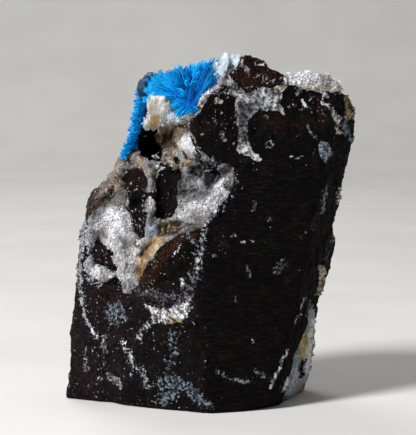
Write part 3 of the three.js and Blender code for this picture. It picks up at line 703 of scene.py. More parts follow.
# Hollows and swellings of the front: how far in (out is negative), and their outline on the front grid.
HOLLOWS = [
    (4.5, *HOLE),
    (1.2, (156, 176), (163, 171), (178, 168), (180, 190), (176, 214), (160, 219), (155, 205)),
    (1.0, (191, 166), (216, 162), (224, 176), (216, 188), (192, 188)),
    (0.9, (131, 197), (145, 199), (146, 222), (134, 224)),
    (1.2, (150, 130), (172, 127), (178, 138), (160, 150)),
    (0.8, (157, 220), (182, 220), (172, 238), (158, 236)),
    (2.4, (182, 96), (201, 94), (199, 114), (182, 116)),
    (-1.0, *NODULE),
    (-0.7, (158, 238), (167, 241), (150, 262), (138, 277), (134, 266)),
    (-0.6, (183, 206), (215, 192), (229, 196), (212, 218), (184, 220)),
    (-0.6, (101, 216), (125, 208), (128, 236), (122, 262), (108, 246)),
]
HOLLOW_EDGE = (-1.0, 5.0)  # steps of the front grid inside the outline between which a hollow gets its depth
# The part of the front that stands higher, and by how much.
PEAK = [(236, 78), (236, 50), (252, 50), (268, 58), (266, 78)]
PEAK_RISE = 0.9

# The sawn face: a point of it, which way it faces, how squarely its vertices face the same way, how far from
# the plane they can lie, and the heights between which the saw marks fade.
SAW_THROUGH = np.array([-1.05, -19.11, 0.0])
SAW_FACING = unit(np.array([0.328, -0.944, 0.04]))
SAW_SQUARE = 0.93
SAW_WITHIN = 0.4
WORN_ABOVE = (44, 56)


def seen_from_front(shape, normals):
    """1 where the surface faces the camera, 0 where it faces away."""
    return smooth(-0.3, -0.1, np.sum(normals * unit(EYE - shape.points), axis=1))


# Noises that shake the columns and the rows, as for layered.
SHAKE = [
    [(1.8, 1.7, 11), (1.4, 0.8, 16)],
    [(1.8, 1.7, 23), (1.4, 0.8, 28)],
]


def warped_grid(shape):
    """Places on the front grid, shaken so that painted edges come out ragged."""
    places = on_front_grid(shape.points)
    for axis, layers in enumerate(SHAKE):
        places[:, axis] += layered(shape.points, layers)
    return places


def hollow_out(shape, normals):
    """Moves the surface away from the camera in the hollows of the front and towards it on its swellings."""
    places = warped_grid(shape)
    depth = np.zeros(len(places))
    for deepest, *outline in HOLLOWS:
        depth += deepest * smooth(*HOLLOW_EDGE, depth_in_outline(places, outline))
    rise = PEAK_RISE * smooth(*HOLLOW_EDGE, depth_in_outline(places, PEAK))
    moved = (depth * seen_from_front(shape, normals))[:, None] * FORWARD
    shape.points = shape.points + moved + rise[:, None] * UPWARD


# The breccia where the front grid doesn't reach: how common each rock tone is, how many clasts and drops of
# zeolite there are, the corners of the boxes that they lie in, and how soft a vein's edge is.
HIDDEN_TONES = {"face": 0.3, "dark": 0.22, "brown": 0.18, "red": 0.1, "black": 0.1, "purple": 0.1}
HIDDEN_CLASTS = 110
HIDDEN_DROPS = 2600
CLAST_BOX = ([-30, -21, -3], [30, 21, 68])
DROP_BOX = ([-30, -21, 0], [30, 21, 66])
VEIN_EDGE = 0.6
AT_ONCE = 200  # drops that are measured at a time, to spare memory


def hidden_veins(points, gap, random):
    """How deep each point is in a vein between clasts or in a drop of zeolite."""
    wider = smooth(0.0, 0.7, rough(points, 9.0, 2, 41))
    narrower = smooth(0.0, 0.6, rough(points, 7.0, 2, 43))
    depth = 0.3 + 2.2 * wider - 1.4 * narrower - gap
    drops = random.uniform(*DROP_BOX, (HIDDEN_DROPS, 3))
    radii = random.lognormal(-0.6, 0.5, HIDDEN_DROPS)
    for start in range(0, HIDDEN_DROPS, AT_ONCE):
        some = slice(start, start + AT_ONCE)
        near = radii[some][None] - np.linalg.norm(points[:, None] - drops[some][None], axis=2)
        depth = np.maximum(depth, near.max(axis=1))
    return depth


def hidden_breccia(points):
    """Tones, specks and zeolite cover of the breccia where the front grid doesn't reach."""
    random = np.random.default_rng(71)
    clasts = random.uniform(*CLAST_BOX, (HIDDEN_CLASTS, 3))
    kinds = random.choice(len(HIDDEN_TONES), HIDDEN_CLASTS, p=list(HIDDEN_TONES.values()))
    tones, specks = (np.array([ROCK[name][i] for name in HIDDEN_TONES]) for i in range(2))
    shaken = points + 1.3 * np.stack([noise(points, 4.0, seed) for seed in (31, 32, 33)], axis=1)
    shaken += 0.5 * np.stack([noise(points, 1.4, seed) for seed in (34, 35, 36)], axis=1)
    distances = np.linalg.norm(shaken[:, None] - clasts[None], axis=2)
    first, second = np.argsort(distances, axis=1)[:, :2].T
    rows = np.arange(len(points))
    depth = hidden_veins(points, distances[rows, second] - distances[rows, first], random)
    density = 0.72 + 0.25 * rough(points, 5.0, 2, 47)
    return tones[kinds[first]], specks[kinds[first]], density * smooth(-VEIN_EDGE, VEIN_EDGE, depth)


def blend(first, second, share):
    """The first value or colour of each vertex, changed to the second by its share."""
    if np.ndim(first) == 2:
        share = share[:, None]
    return first + share * (second - first)


def front_rock(places):
    """Rock tone and specks of the front, and where its clasts are."""
    colour, density = ROCK["face"]
    rock = np.tile(colour, (len(places), 1))
    specks = np.full(len(places), density)
    clast = np.zeros(len(places))
    for mark in ROCK_MARKS:
        share = share_in_mark(places, mark)
        colour, density = ROCK[mark["tone"]]
        rock = blend(rock, colour, share)
        specks = blend(specks, density, share)
        if mark["tone"] in CLASTS:
            clast = np.maximum(clast, share)
    return rock, specks, clast


def front_zeolite(points, places, crust):
    """Zeolite tone and cover of the front."""
    zeolite = np.tile(ZEOLITE["pale"], (len(places), 1))
    cover = np.full(len(places), float(crust))
    if crust:
        zeolite = blend(zeolite, ZEOLITE["tan"], 0.9 * smooth(0.1, 0.7, rough(points, 3.6, 4, 61)))
    for mark in CRUST_MARKS if crust else COVER_MARKS:
        share = share_in_mark(places, mark)
        if mark["tone"] in ROCK:
            cover = cover * (1 - share)
        else:
            zeolite = blend(zeolite, ZEOLITE[mark["tone"]], share)
            cover = np.maximum(cover, share * mark["cover"])
    return zeolite, cover


def paint(shape, normals, crust=False):
    """Gives every vertex its tones, specks, zeolite cover and saw marks, and returns where the clasts are."""
    points = shape.points
    places = warped_grid(shape)
    rock, specks, clast = front_rock(places)
    zeolite, cover = front_zeolite(points, places, crust)
    hidden_rock, hidden_specks, hidden_cover = hidden_breccia(points)
    tint = smooth(-0.3, 0.6, rough(points, 6.0, 3, 51))
    hidden_zeolite = blend(np.tile(ZEOLITE["pale"], (len(points), 1)), ZEOLITE["beige"], tint)
    behind = 1 - seen_from_front(shape, normals)
    sawn = (normals @ SAW_FACING > SAW_SQUARE) & (np.abs((points - SAW_THROUGH) @ SAW_FACING) < SAW_WITHIN)
    shape.values = {
        "rock": blend(rock, hidden_rock, behind),
        "specks": blend(specks, hidden_specks, behind),
        "zeolite": blend(zeolite, hidden_zeolite, behind),
        "cover": blend(cover, np.maximum(hidden_cover, float(crust)), behind),
        "sawn": sawn * (1 - smooth(*WORN_ABOVE, points[:, 2])),
    }
    return clast


# ---- materials


class Look:
    """A node material in the making."""

    def __init__(self, name):
        self.material = bpy.data.materials.new(name)
        self.material.use_nodes = True
        self.tree = self.material.node_tree
        self.surface = self.tree.nodes["Principled BSDF"]
        self.place = self.add("ShaderNodeTexCoord").outputs["Object"]

    def add(self, kind, feeds=None, **settings):
        node = self.tree.nodes.new(kind)
        for key, value in settings.items():
            setattr(node, key, value)
        for key, value in (feeds or {}).items():
            self.feed(node.inputs[key], value)
        return node

    def feed(self, socket, value):
        if isinstance(value, bpy.types.NodeSocket):
            self.tree.links.new(value, socket)
        else:
            socket.default_value = value

    def finish(self, **feeds):
        """The material, with the inputs of its surface fed by name."""
        for key, value in feeds.items():
            self.feed(self.surface.inputs[key.replace("_", " ")], value)
        return self.material

    def value(self, name):
        return self.add("ShaderNodeAttribute", attribute_name=name).outputs["Fac"]

    def colour(self, name):
        return self.add("ShaderNodeAttribute", attribute_name=name).outputs["Color"]

    def noise(self, size, detail=2.0, place=None, roughness=0.55):
        scale = 1 / (size * MM)
        feeds = {"Vector": place or self.place, "Scale": scale, "Detail": detail, "Roughness": roughness}
        return self.add("ShaderNodeTexNoise", feeds).outputs["Fac"]

    def math(self, operation, *terms):
        feeds = dict(enumerate(terms))
        return self.add("ShaderNodeMath", feeds, operation=operation).outputs[0]

    def between(self, value, low, high, out_low=0.0, out_high=1.0):
        """From one value to another while the first goes from low to high."""
        feeds = {"Value": value, "From Min": low, "From Max": high, "To Min": out_low, "To Max": out_high}
        return self.add("ShaderNodeMapRange", feeds, interpolation_type="SMOOTHSTEP").outputs["Result"]

    def mix(self, share, first, second, kind="MIX"):
        node = self.add("ShaderNodeMix", data_type="RGBA", blend_type=kind)
        for socket, value in ((node.inputs[0], share), (node.inputs[6], first), (node.inputs[7], second)):
            self.feed(socket, value)
        return node.outputs[2]

    def scaled(self, colour, value):
        feeds = {0: colour, "Scale": value}
        return self.add("ShaderNodeVectorMath", feeds, operation="SCALE").outputs[0]

    def bump(self, height, distance):
        return self.add("ShaderNodeBump", {"Height": height, "Distance": distance * MM}).outputs["Normal"]


RAGGED = 1.7  # how much the noise along an edge adds to the cover
SHOWS = (0.5, 0.6)  # the cover at which zeolite begins to show, and that at which nothing else does
DRAWN = (0.22, 0.22, 1.0)  # scale of the grain that is drawn out along the saw marks
RUSTY = (2.2, 1.35, 1.1, 1.0)  # how much brighter a rusty fleck is in red, green and blue
SPECK = linear("b4b4ba")


def zeolite_share(look):
    """Where zeolite shows, broken into grains where the cover is part only."""
    shake = look.math("SUBTRACT", look.noise(0.5, 4.0, roughness=0.62), 0.5)
    return look.between(look.math("MULTIPLY_ADD", shake, RAGGED, look.value("cover")), *SHOWS)


def speck_share(look, size, detail, scarce):
    """Pale specks, more of them where the specks value is high, gathered in patches."""
    patches = look.between(look.noise(4.5, 2.0), 0.38, 0.62, 0.55, 1.15)
    limit = look.math("MULTIPLY_ADD", look.math("MULTIPLY", look.value("specks"), patches), -0.36, scarce)
    over = look.math("SUBTRACT", look.noise(size, detail, roughness=0.62), limit)
    return look.between(over, 0.0, 0.05)


def rock_colour(look):
    """Dark groundmass with lighter grains and rusty flecks, drawn out along the saw marks."""
    sawn = look.value("sawn")
    drawn = look.add("ShaderNodeMapping", {"Vector": look.place, "Scale": DRAWN}).outputs["Vector"]
    place = look.add("ShaderNodeMix", {0: sawn, 4: look.place, 5: drawn}, data_type="VECTOR").outputs[1]
    grain = look.noise(0.32, 4.0, place, 0.7)
    fleck = look.noise(0.7, 4.0, place, 0.7)
    blotch = look.between(look.noise(3.5, 2.0), 0.3, 0.7, 0.7, 1.3)
    shade = look.math("MULTIPLY", look.between(grain, 0.4, 0.66, 0.05, 2.8), blotch)
    rock = look.scaled(look.colour("rock"), shade)
    rusty = look.mix(1.0, rock, RUSTY, "MULTIPLY")
    return look.mix(look.between(fleck, 0.5, 0.6), rock, rusty), grain


def stone_look():
    look = Look("basalt_breccia")
    rock, grain = rock_colour(look)
    specks = look.math("MAXIMUM", speck_share(look, 0.55, 2.0, 0.78), speck_share(look, 1.8, 4.0, 0.8))
    rock = look.mix(specks, rock, look.scaled(SPECK, look.between(grain, 0.3, 0.7, 0.4, 1.1)))
    zeolite = look.scaled(look.colour("zeolite"), look.between(look.noise(0.75, 3.0), 0.38, 0.64, 0.12, 1.2))
    return look.finish(
        Specular_IOR_Level=0.06,
        Base_Color=look.mix(zeolite_share(look), rock, zeolite),
        Roughness=look.between(grain, 0.3, 0.7, 0.6, 0.9),
        Normal=look.bump(grain, 0.22),
    )


def druse_look(name):
    look = Look(name)
    grain = look.noise(0.3, 2.0)
    rock, _ = rock_colour(look)
    sugar = look.noise(0.42, 3.0, roughness=0.65)
    zeolite = look.scaled(look.colour("zeolite"), look.between(sugar, 0.34, 0.6, 0.5, 1.2))
    share = zeolite_share(look)
    rock_roughness = look.math("MULTIPLY_ADD", share, -0.5, 0.5)
    return look.finish(
        Specular_IOR_Level=0.2,
        Subsurface_Weight=0.15,
        Subsurface_Radius=(0.5, 0.5, 0.5),
        Subsurface_Scale=MM,
        Base_Color=look.mix(share, rock, zeolite),
        Roughness=look.math("ADD", look.between(grain, 0.3, 0.7, 0.2, 0.5), rock_roughness),
        Normal=look.bump(grain, 0.08),
    )


def cavansite_look():
    look = Look("cavansite")
    streak = look.noise(0.5, 2.0)
    return look.finish(
        Specular_IOR_Level=0.07,
        Base_Color=look.scaled(look.colour("blue"), look.between(streak, 0.3, 0.7, 0.8, 1.2)),
        Roughness=look.between(streak, 0.3, 0.7, 0.3, 0.5),
        Normal=look.bump(streak, 0.03),
    )


def crystal_look(name, transmission, roughness):
    look = Look(name)
    cloud = look.noise(0.9, 3.0)
    return look.finish(
        IOR=1.5,
        Transmission_Weight=transmission,
        Base_Color=look.scaled(look.colour("tone"), look.between(cloud, 0.3, 0.7, 0.75, 1.1)),
        Roughness=look.between(cloud, 0.3, 0.7, roughness, roughness + 0.25),
        Normal=look.bump(look.noise(0.35, 2.0), 0.06),
    )


# ---- rock and druses

CRUST_NODES = ["zeolite_crust", "top_edge_druse", "side_coat"]
FRINGE_ROUNDS = 12  # how often the edge of the crusts is evened out for the zeolite that lies round them
ROCK_VOXEL = 0.43  # size of the rock's small faces
GROUND_VOXEL = 0.3  # and of the crusts', which are finer
FACETS_SOFTENED = 8  # rounds of smoothing that round off the CAD's facets
BASE_MARGIN = 0.8  # height over the cut base at which the broken relief is whole
CRYSTALS_FROM = (1.0, 2.0)  # heights between which small crystals begin
CRUST_EDGE = 0.12  # depth at which a crust ends
OPEN_UNDER = 0.25  # cover under which a crust is open and the rock shows
RAGGED_EDGE = 0.3  # how much deeper or shallower noise makes the crust at its edge
CRUST_DIP = 0.3  # how far a crust's edge lies under the rock's surface
UNDERSIDE = 1.0  # and how far its underside does
LUMPS = [(0.62, 3.1, 2), (0.5, 1.5, 6), (0.26, 0.8, 9)]  # as for layered
# Painted shade: the zeolite tone is darkened in the creases between lumps, down to this share in the deepest.
CREASE_SHADE = np.array([0.24, 0.21, 0.18])  # share of the zeolite tone that is left in its deepest creases


def settle_on_base(shape):
    """Keeps a shape over the plane that the specimen stands on."""
    shape.points[:, 2] = np.maximum(shape.points[:, 2], 0)


def make_rock():
    """The breccia, chipped where it is broken and sunk a little under the crusts."""
    shape = from_node("basalt_matrix", ROCK_VOXEL, FACETS_SOFTENED)
    normals = normals_of(shape)
    clast = paint(shape, normals)
    crust = sum(standing_over(shape, normals, node) for node in CRUST_NODES)
    ragged = 0.46 + 0.2 * rough(shape.points, 2.2, 3, 12)
    fringe = smooth(0.0, CRUST_EDGE, softened(shape, crust, FRINGE_ROUNDS)) * ragged
    shape.values["cover"] = np.maximum(shape.values["cover"], fringe * (1 - clast))
    hollow_out(shape, normals)
    points = shape.points
    sawn = shape.values["sawn"] > 0.5
    broken = 0.55 * chips(points, 3.1, 5) + 0.35 * chips(points, 1.5, 9) + 0.2 * rough(points, 0.9, 2, 3)
    flat = 0.05 * rough(points, 2.5, 3, 6)
    cover = smooth(0.4, 0.7, shape.values["cover"])
    granular = 0.18 * np.abs(noise(points, 0.9, 8)) + 0.1 * noise(points, 0.6, 4)
    height = np.where(sawn, flat, broken + cover * granular)
    height = height - smooth(0.0, 0.25, crust) * (0.25 + np.maximum(height, 0))
    shape.points = points + normals * (height * smooth(0, BASE_MARGIN, points[:, 2]))[:, None]
    settle_on_base(shape)
    weight = smooth(0.6, 0.85, shape.values["cover"]) * smooth(*CRYSTALS_FROM, points[:, 2])
    picked, random = scattered(shape, weight * np.where(sawn, 0.1, 1.0), 1200, 3)
    grains = grown(shape, normals, picked, random, 0.3)
    grains.values["cover"][:] = 1.0
    make_piece("rock", "basalt_matrix", [shape, grains], stone_look())


def shaded_crease_tones(points, lumps, tones, relief):
    """How much of each vertex's tone is left: painted shade between the lumps, with a pale net on dark parts.
    """
    lit = smooth(-0.7, 0.35, lumps)[:, None]
    net = smooth(0.55, 1.0, 1 - np.abs(noise(points, 1.3, 21)))[:, None]
    dull = smooth(0.3, 0.08, tones.mean(axis=1))[:, None]
    # Painted shade: lit lump tops keep their tone, the creases between them are darkened.
    crease = 1 - relief * (1 - CREASE_SHADE) * (1 - lit)
    return crease * (1 + dull * (1.7 * net - 0.7))


def make_druse(name, node, ground, ground_normals, crystal_sizes, seed, relief=1.0):
    """A crust of lumps with painted shade in its creases, strewn with small crystals (size, number) where
    white.
    """
    depth = standing_over(ground, ground_normals, node)
    ragged = depth + RAGGED_EDGE * rough(ground.points, 1.8, 3, 14) * smooth(0, CRUST_EDGE, depth)
    shape, normals, used = part_of(ground, ground_normals, ragged > CRUST_EDGE)
    depth = depth[used]
    points = shape.points
    lumps = layered(points, LUMPS)
    height = CRUST_DIP + 0.7 * relief * lumps + 0.16 * chips(points, 0.8, 3)
    height = smooth(CRUST_EDGE, 0.8, depth) * height
    shape.points = points + normals * (depth - CRUST_DIP + height)[:, None]
    paint(shape, normals, crust=True)
    under = points - UNDERSIDE * normals - shape.points
    # Painted shade darkens the zeolite tone in the creases between the lumps.
    shape.values["zeolite"] *= shaded_crease_tones(points, lumps, shape.values["zeolite"], relief)
    shape, normals, used = part_of(shape, normals, shape.values["cover"] > OPEN_UNDER)
    places = warped_grid(shape)
    hollow_out(shape, normals)
    under = shape.points + under[used]
    settle_on_base(shape)
    whiteness = smooth(0.05, 0.6, shape.values["zeolite"].mean(axis=1))
    bare = sum(share_in_mark(places, mark) for mark in BARE_MARKS)
    weight = smooth(0.5, 0.8, shape.values["cover"]) * whiteness
    weight = weight * smooth(*CRYSTALS_FROM, shape.points[:, 2]) * (1 - bare)
    shapes = [closed(shape, under)]
    for i, (size, count) in enumerate(crystal_sizes):
        picked, random = scattered(shape, weight, count, seed + i)
        shapes.append(grown(shape, normals, picked, random, size, rings=BLOCK if i % 2 == 0 else BLADE))
    make_piece(name, node, shapes, druse_look(name))


def make_crusts():
    ground = from_node("basalt_matrix", GROUND_VOXEL, FACETS_SOFTENED)
    normals = normals_of(ground)
    vug_crystals = [(0.28, 2600), (0.6, 160), (0.22, 2600)]
    make_druse("vug_druse", "zeolite_crust", ground, normals, vug_crystals, 100)
    make_druse("top_druse", "top_edge_druse", ground, normals, [(0.34, 900), (0.6, 140)], 200, relief=0.7)
    make_druse("yellow_coat", "side_coat", ground, normals, [(0.3, 120)], 300, relief=0.15)


# ---- cavansite

# Sprays that lie open to the front: middle (column and row on the front grid, and depth y), radius, first and
# last angle in degrees (0 right, 90 up), number of fibres, how dark they are and how far they lean forward.
# The fans set darker to the right are partly painted shade; each bundle's darkness also varies at random.
FANS = [
    (187, 97, -10.4, 7.3, 150, 182, 1000, 0.05, 0.25),
    (186, 96, -10.2, 5.7, 114, 152, 800, 0.3, 0.3),
    (184, 95, -9.8, 5.5, 98, 103, 140, 0.5, 0.1),
    (186, 95, -10.0, 4.2, 80, 116, 420, 0.45, 0.3),
    (188, 100, -10.2, 6.6, 71, 82, 420, 0.0, 0.15),
    (190, 100, -10.0, 7.8, 58, 70, 560, 0.25, 0.15),
    (192, 98, -10.0, 8.3, 47, 58, 420, 0.5, 0.15),
    (189, 113, -14.8, 9.0, 53, 66, 700, 0.9, 0.1),
    (187, 102, -14.4, 3.1, 205, 330, 620, 0.35, 0.3),
    (190, 103, -14.8, 2.7, -50, 60, 360, 0.7, 0.3),
    (166, 92, -7.8, 3.9, 95, 185, 380, 0.1, 0.3),
    (155, 97, -6.6, 2.4, 110, 200, 160, 0.1, 0.2),
]
# Small sprays down the left edge: middle on the front grid, radius, and the depths y that they lie between.
STRIP = [
    (147, 93, 2.0, -3.6, 2.6),
    (147, 99, 2.1, -3.4, 3.0),
    (146, 106, 2.2, -3.6, 2.2),
    (145, 112, 2.4, -3.2, 2.4),
    (144, 118, 2.4, -3.6, 1.4),
    (142, 124, 2.2, -3.0, 1.8),
    (139, 130, 1.8, -3.4, 0.8),
    (136, 136, 1.4, -3.2, 0.6),
    (134, 142, 1.4, -3.8, -0.4),
    (131, 148, 1.4, -4.0, -1.2),
    (127, 154, 1.2, -4.0, -2.0),
]
STRIP_SPRAYS = 5  # at each middle
STRIP_OUTWARD = np.array([-1.5, -0.2, -0.5])
STRIP_FIBRES = 36
# Small sprays on the top and back of the core, right of the clear crystals.
TOP_RIGHT_OF = -10.0
TOP_FROM = 56.5  # lowest height
TOP_SPACING = 1.8
TOP_RADIUS = 1.7
TOP_FIBRES = 40
SHEAF_FIBRES = 80  # fibres of one bundle of a large spray
SMALL_SHEAF_FIBRES = 5  # and of a small one
LOOSE = 0.24  # how far the root of a fibre strays
CORE_FRONT = -10.4  # depth y that the core doesn't reach past
CORE_VOXEL = 0.5
CORE_SOFTENED = 40
CORE_UNDER = 0.7  # how far the core lies under the CAD's facets
BLUE_ROOT = linear("0468c8")
BLUE_BODY = linear("00a8f8")
BLUE_DARK = linear("0352a2")
# Painted highlight: the cyan that the tips of the fibres turn to.
BLUE_TIP_HIGHLIGHT = linear("2cccfa")


def sheaves(middle, axes, reaches, count, random, fan=0.04):
    """Fibres gathered into bundles of nearly the same direction: places, axes, lengths and bundle of each."""
    bundle = random.integers(0, len(axes), count)
    turned = unit(axes[bundle] + fan * random.normal(size=(count, 3)))
    lengths = reaches[bundle] * random.uniform(0.68, 0.92, count)
    start = 0.1 * reaches[bundle][:, None]
    return middle + turned * start + LOOSE * random.normal(size=(count, 3)), turned, lengths, bundle


def fan_axes(first, last, number, furthest, random):
    """Directions of bundles spread over a fan, leaning a little towards the camera."""
    step = (last - first) / number
    angles = np.radians(np.linspace(first, last, number) + step * random.uniform(-1, 1, number))
    lean = random.uniform(-0.1, furthest, number)
    across = np.cos(angles)[:, None] * RIGHTWARD + np.sin(angles)[:, None] * UPWARD
    return unit(across - lean[:, None] * FORWARD), 1 - 0.22 * np.maximum(lean, 0)


def blue_fibres(places, axes, lengths, dark, random):
    """Fine blue blades, deep blue at the root and a painted cyan highlight at the tip."""
    number = len(lengths)
    widths = random.uniform(0.18, 0.36, number)
    body = BLUE_BODY + dark[:, None] * (BLUE_DARK - BLUE_BODY)
    body = body * random.uniform(0.8, 1.15, number)[:, None]
    spins = random.uniform(0, math.tau, number)
    shape = crystals(places, axes, spins, widths, 0.6 * widths, lengths, FIBRE, {"blue": body})
    along = np.tile(np.repeat([height for height, _ in FIBRE], 4), number)[:, None]
    # Painted highlight: the tip turns cyan, less on dark fibres.
    tip_highlight = smooth(0.5, 1.0, along) * (0.6 - 0.5 * np.repeat(dark, len(FIBRE) * 4)[:, None])
    blue = BLUE_ROOT + smooth(-0.3, 0.5, along) * (shape.values["blue"] - BLUE_ROOT)
    shape.values["blue"] = blue + tip_highlight * (BLUE_TIP_HIGHLIGHT - blue)
    return shape


def spray(middle, radius, outward, count, random):
    """A small spray of fibres that opens one way."""
    axes = unit(0.8 * unit(random.normal(size=(count // SMALL_SHEAF_FIBRES, 3))) + outward)
    reaches = radius * random.uniform(0.75, 1.1, len(axes))
    places, axes, lengths, bundle = sheaves(middle, axes, reaches, count, random, fan=0.15)
    return blue_fibres(places, axes, lengths, random.uniform(0.0, 0.8, len(reaches))[bundle], random)


def strip_sprays(random):
    """Small sprays down the left edge, some at each middle, one behind the other."""
    shapes = []
    for column, row, radius, front, back in STRIP:
        for y in np.linspace(front, back, STRIP_SPRAYS) + random.uniform(-0.4, 0.4, STRIP_SPRAYS):
            middle = at_grid(column, row + random.uniform(-3, 3), y)
            shapes.append(spray(middle, radius, STRIP_OUTWARD, STRIP_FIBRES, random))
    return shapes


def top_sprays(core, random):
    """Small sprays on the core, where no fan lies open to the front and no clear crystals stand."""
    points, normals = core.points, normals_of(core)
    turned_away = (normals[:, 1] > -0.35) & (normals[:, 2] > -0.5)
    hidden = turned_away & (points[:, 2] > TOP_FROM) & (points[:, 0] > TOP_RIGHT_OF)
    chosen = []
    for i in random.permutation(np.flatnonzero(hidden)):
        if all(np.linalg.norm(points[i] - points[j]) > TOP_SPACING for j in chosen):
            chosen.append(i)
    return [spray(points[i], TOP_RADIUS, normals[i], TOP_FIBRES, random) for i in chosen]


def make_cavansite():
    """A deep blue core with sprays of fine fibres on it."""
    random = np.random.default_rng(5)
    core = from_node("cavansite_rosettes", CORE_VOXEL, CORE_SOFTENED)
    core.points = core.points - CORE_UNDER * normals_of(core)
    core.values = {"blue": np.tile(BLUE_ROOT, (len(core.points), 1))}
    shapes = [core, *strip_sprays(random), *top_sprays(core, random)]
    core.points[:, 1] = np.maximum(core.points[:, 1], CORE_FRONT)
    for column, row, y, radius, first, last, count, dark, furthest in FANS:
        axes, share = fan_axes(first, last, max(3, count // SHEAF_FIBRES), furthest, random)
        reaches = radius * share * random.uniform(0.9, 1.04, len(axes))
        places, axes, lengths, bundle = sheaves(at_grid(column, row, y), axes, reaches, count, random)
        tones = np.clip(dark + random.uniform(-0.4, 0.45, len(reaches))[bundle], 0, 1)
        shapes.append(blue_fibres(places, axes, lengths, tones, random))
    make_piece("cavansite_sprays", "cavansite_rosettes", shapes, cavansite_look())


# ---- stilbite and heulandite

CREAM = linear("dcdad2")
SUGAR = linear("bcc2c9")
# Foot and tip of each group of blades (column and row on the front grid, and depth y) and a blade's width.
CREAM_STEMS = [
    ((155, 122, -6.0), (153, 94, -10.2), 2.6),
    ((159, 122, -6.2), (158, 91, -10.8), 3.4),
    ((162, 122, -7.0), (163, 95, -11.2), 2.8),
    ((166, 122, -7.6), (167, 103, -11.6), 2.4),
    ((171, 121, -8.4), (173, 115, -12.0), 2.2),
    ((177, 120, -10.0), (182, 117, -13.2), 2.0),
    ((156, 124, -6.0), (147, 120, -8.8), 2.2),
]
CREAM_TONES = {"streak": linear("c6b98e"), "sugar": SUGAR, "stain": linear("c9a064")}
STAIN_MARK = area("stain", (151, 117), (160, 115), (163, 122), (155, 129), (148, 127), edge=3)
CREAM_MARKS = [
    line("streak", 2.2, (150, 98), (149, 116), edge=2.5),
    area("sugar", (166, 108), (200, 108), (200, 128), (140, 134), (140, 120), (158, 126), edge=4),
    STAIN_MARK,
]
SUGARED_ROWS = (112, 122)  # rows between which the cream blades get sugared, at their middle column
CREAM_COLUMN = 156


def stems(places, count, spread, thickness, random):
    """Groups of stout blades, each group from a foot to a tip."""
    shapes = []
    for foot, tip, width in places:
        reach = at_grid(*tip) - at_grid(*foot)
        axes = unit(unit(reach) + 0.06 * random.normal(size=(count, 3)))
        feet = at_grid(*foot) + random.normal(size=(count, 3)) * np.array(spread)
        widths = width * random.uniform(0.8, 1.2, count)
        lengths = np.linalg.norm(reach) * random.uniform(0.94, 1.0, count)
        spins = math.pi / 4 + random.uniform(-0.2, 0.2, count)
        shapes.append(crystals(feet, axes, spins, widths, thickness * widths, lengths, BLOCK, {}))
    return shapes


def sugar(shape, weight, count, size, seed):
    """Small bluish white crystals on part of a shape."""
    picked, random = scattered(shape, weight, count, seed)
    grains = grown(shape, normals_of(shape), picked, random, size, tinted="tone")
    grains.values["tone"] = SUGAR * random.uniform(0.75, 1.15, count).repeat(len(BLOCK) * 4)[:, None]
    return grains


def make_cream_blades():
    """Broad cream blades grown together, stained at the root and sugared with fine crystals low down."""
    random = np.random.default_rng(17)
    shape = fused(stems(CREAM_STEMS, 4, (0.2, 0.6, 0.2), 0.8, random), 0.2, 9)
    points = shape.points
    shape.points = points + normals_of(shape) * (0.1 * rough(points, 0.9, 3, 2))[:, None]
    places = on_front_grid(points) + 1.5 * noise(points, 1.0, 3)[:, None]
    tone = np.tile(CREAM, (len(points), 1))
    for mark in CREAM_MARKS:
        tone = blend(tone, CREAM_TONES[mark["tone"]], share_in_mark(places, mark))
    shape.values = {"tone": tone}
    low = smooth(*SUGARED_ROWS, places[:, 1] + 0.4 * np.abs(places[:, 0] - CREAM_COLUMN))
    grains = sugar(shape, low * (1 - 0.8 * share_in_mark(places, STAIN_MARK)), 700, 0.24, 18)
    look = crystal_look("cream_stilbite", transmission=0.05, roughness=0.4)
    make_piece("cream_stilbite", "stilbite_cream_blades", [shape, grains], look)


# The white blades of the peak, as for the cream ones.
WHITE_STEMS = [
    ((212, 84, -12.0), (216, 69, -12.6), 1.7),
    ((214, 84, -12.2), (219, 64, -12.8), 1.7),
    ((217, 83, -12.4), (224, 59, -12.8), 1.7),
    ((220, 81, -12.4), (229, 57, -12.6), 1.7),
    ((223, 78, -12.4), (233, 55, -12.4), 1.7),
    ((226, 76, -12.0), (238, 55, -12.0), 1.7),
]
WHITE = linear("cbd8e6")
SUGARED_UNDER = (63.5, 61.5)  # heights between which the white blades get sugared


def make_white_sheaf():
    """Pale blades grown together into a peak, with fine crystals round their feet."""
    random = np.random.default_rng(29)
    shape = fused(stems(WHITE_STEMS, 12, (0.5, 1.0, 0.3), 0.45, random), 0.17, 2)
    points = shape.points
    shape.points = points + normals_of(shape) * (0.05 * rough(points, 0.8, 2, 2))[:, None]
    shape.values = {"tone": WHITE * (0.85 + 0.25 * noise(points, 1.6, 4)[:, None])}
    grains = sugar(shape, smooth(*SUGARED_UNDER, points[:, 2]), 420, 0.28, 30)
    look = crystal_look("white_stilbite", transmission=0.15, roughness=0.25)
    make_piece("white_stilbite", "stilbite_white_sheaf", [shape, grains], look)


# The clear crystals of the corner, as for the cream ones.
CLEAR_STEMS = [
    ((147, 97, -3.6), (143, 78, -6.2), 2.6),
    ((149, 97, -4.0), (148, 75, -6.6), 2.6),
    ((153, 95, -4.4), (154, 75, -6.4), 2.6),
    ((158, 93, -4.6), (163, 76, -6.0), 2.6),
]
CLEAR = linear("4f7898")


def make_clear_cluster():
    """Stout see-through crystals of the corner."""
    random = np.random.default_rng(62)
    shapes = stems(CLEAR_STEMS, 3, (0.2, 0.6, 0.15), 0.7, random)
    for shape in shapes:
        shape.values = {"tone": np.tile(CLEAR * random.uniform(0.85, 1.1), (len(shape.points), 1))}
    look = crystal_look("clear_heulandite", transmission=0.6, roughness=0.08)
    make_piece("clear_heulandite", "heulandite_clear_cluster", shapes, look)


# ---- stage

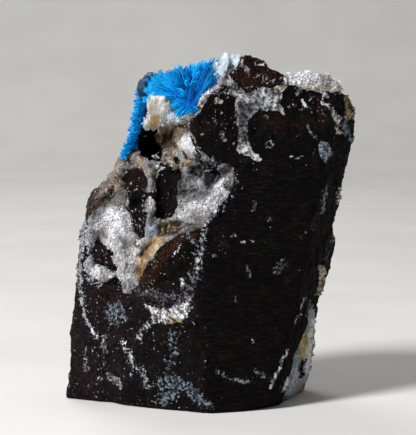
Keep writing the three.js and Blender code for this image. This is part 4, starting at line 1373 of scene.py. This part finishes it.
# The floor in metres: its front and back edge, the radius that it curves up with, the height of the backdrop
# and half the width of both.
FLOOR_FRONT = -1.6
FLOOR_BACK = 0.9
CURVE = 0.3
CURVE_STEPS = 17
BACKDROP_TOP = 1.6
FLOOR_HALF_WIDTH = 2.4
# The lights: name, place and size in metres, and power in watts. They face a point in the specimen.
LIGHTS = [
    ("key", Vector((-0.42, -0.42, 0.52)), 0.2, 7.4),
    ("fill", Vector((0.6, -0.5, 0.3)), 0.5, 0.5),
    ("back", Vector((-0.2, 0.5, 0.6)), 0.4, 1.7),
]
LIT_POINT = Vector((0, 0, 0.035))
SKY = (0.9, 0.93, 1.0, 1.0)
SKY_STRENGTH = 0.14


def make_floor():
    """A pale floor that curves up into a backdrop."""
    curve_start = FLOOR_BACK - CURVE
    profile = [(FLOOR_FRONT, 0.0)]
    for angle in np.linspace(0, math.pi / 2, CURVE_STEPS):
        profile.append((curve_start + CURVE * math.sin(angle), CURVE - CURVE * math.cos(angle)))
    profile.append((FLOOR_BACK, BACKDROP_TOP))
    points = [(x, y, z) for y, z in profile for x in (-FLOOR_HALF_WIDTH, FLOOR_HALF_WIDTH)]
    faces = [(2 * i, 2 * i + 1, 2 * i + 3, 2 * i + 2) for i in range(len(profile) - 1)]
    mesh = bpy.data.meshes.new("floor")
    mesh.from_pydata(points, [], faces)
    mesh.polygons.foreach_set("use_smooth", [True] * len(faces))
    look = Look("floor")
    tone = look.between(look.noise(40.0, 2.0), 0.3, 0.7, 0.97, 1.03)
    mesh.materials.append(look.finish(Base_Color=look.scaled(linear("e2e0dc"), tone), Roughness=0.8))
    floor = placed("floor", mesh)


def make_lights():
    """Soft lamps and a faint sky."""
    for name, place, size, power in LIGHTS:
        data = bpy.data.lights.new(name, "AREA")
        data.shape = "DISK"
        data.size = size
        data.energy = power
        aimed(name, data, place, LIT_POINT - place)
    world = bpy.data.worlds.new("world")
    world.use_nodes = True
    sky = world.node_tree.nodes["Background"]
    sky.inputs["Color"].default_value = SKY
    sky.inputs["Strength"].default_value = SKY_STRENGTH
    bpy.context.scene.world = world
    bpy.context.scene.view_settings.view_transform = "Standard"


# ---- assembly

make_camera()
make_rock()
make_crusts()
make_cavansite()
make_cream_blades()
make_white_sheaf()
make_clear_cluster()
make_floor()
make_lights()
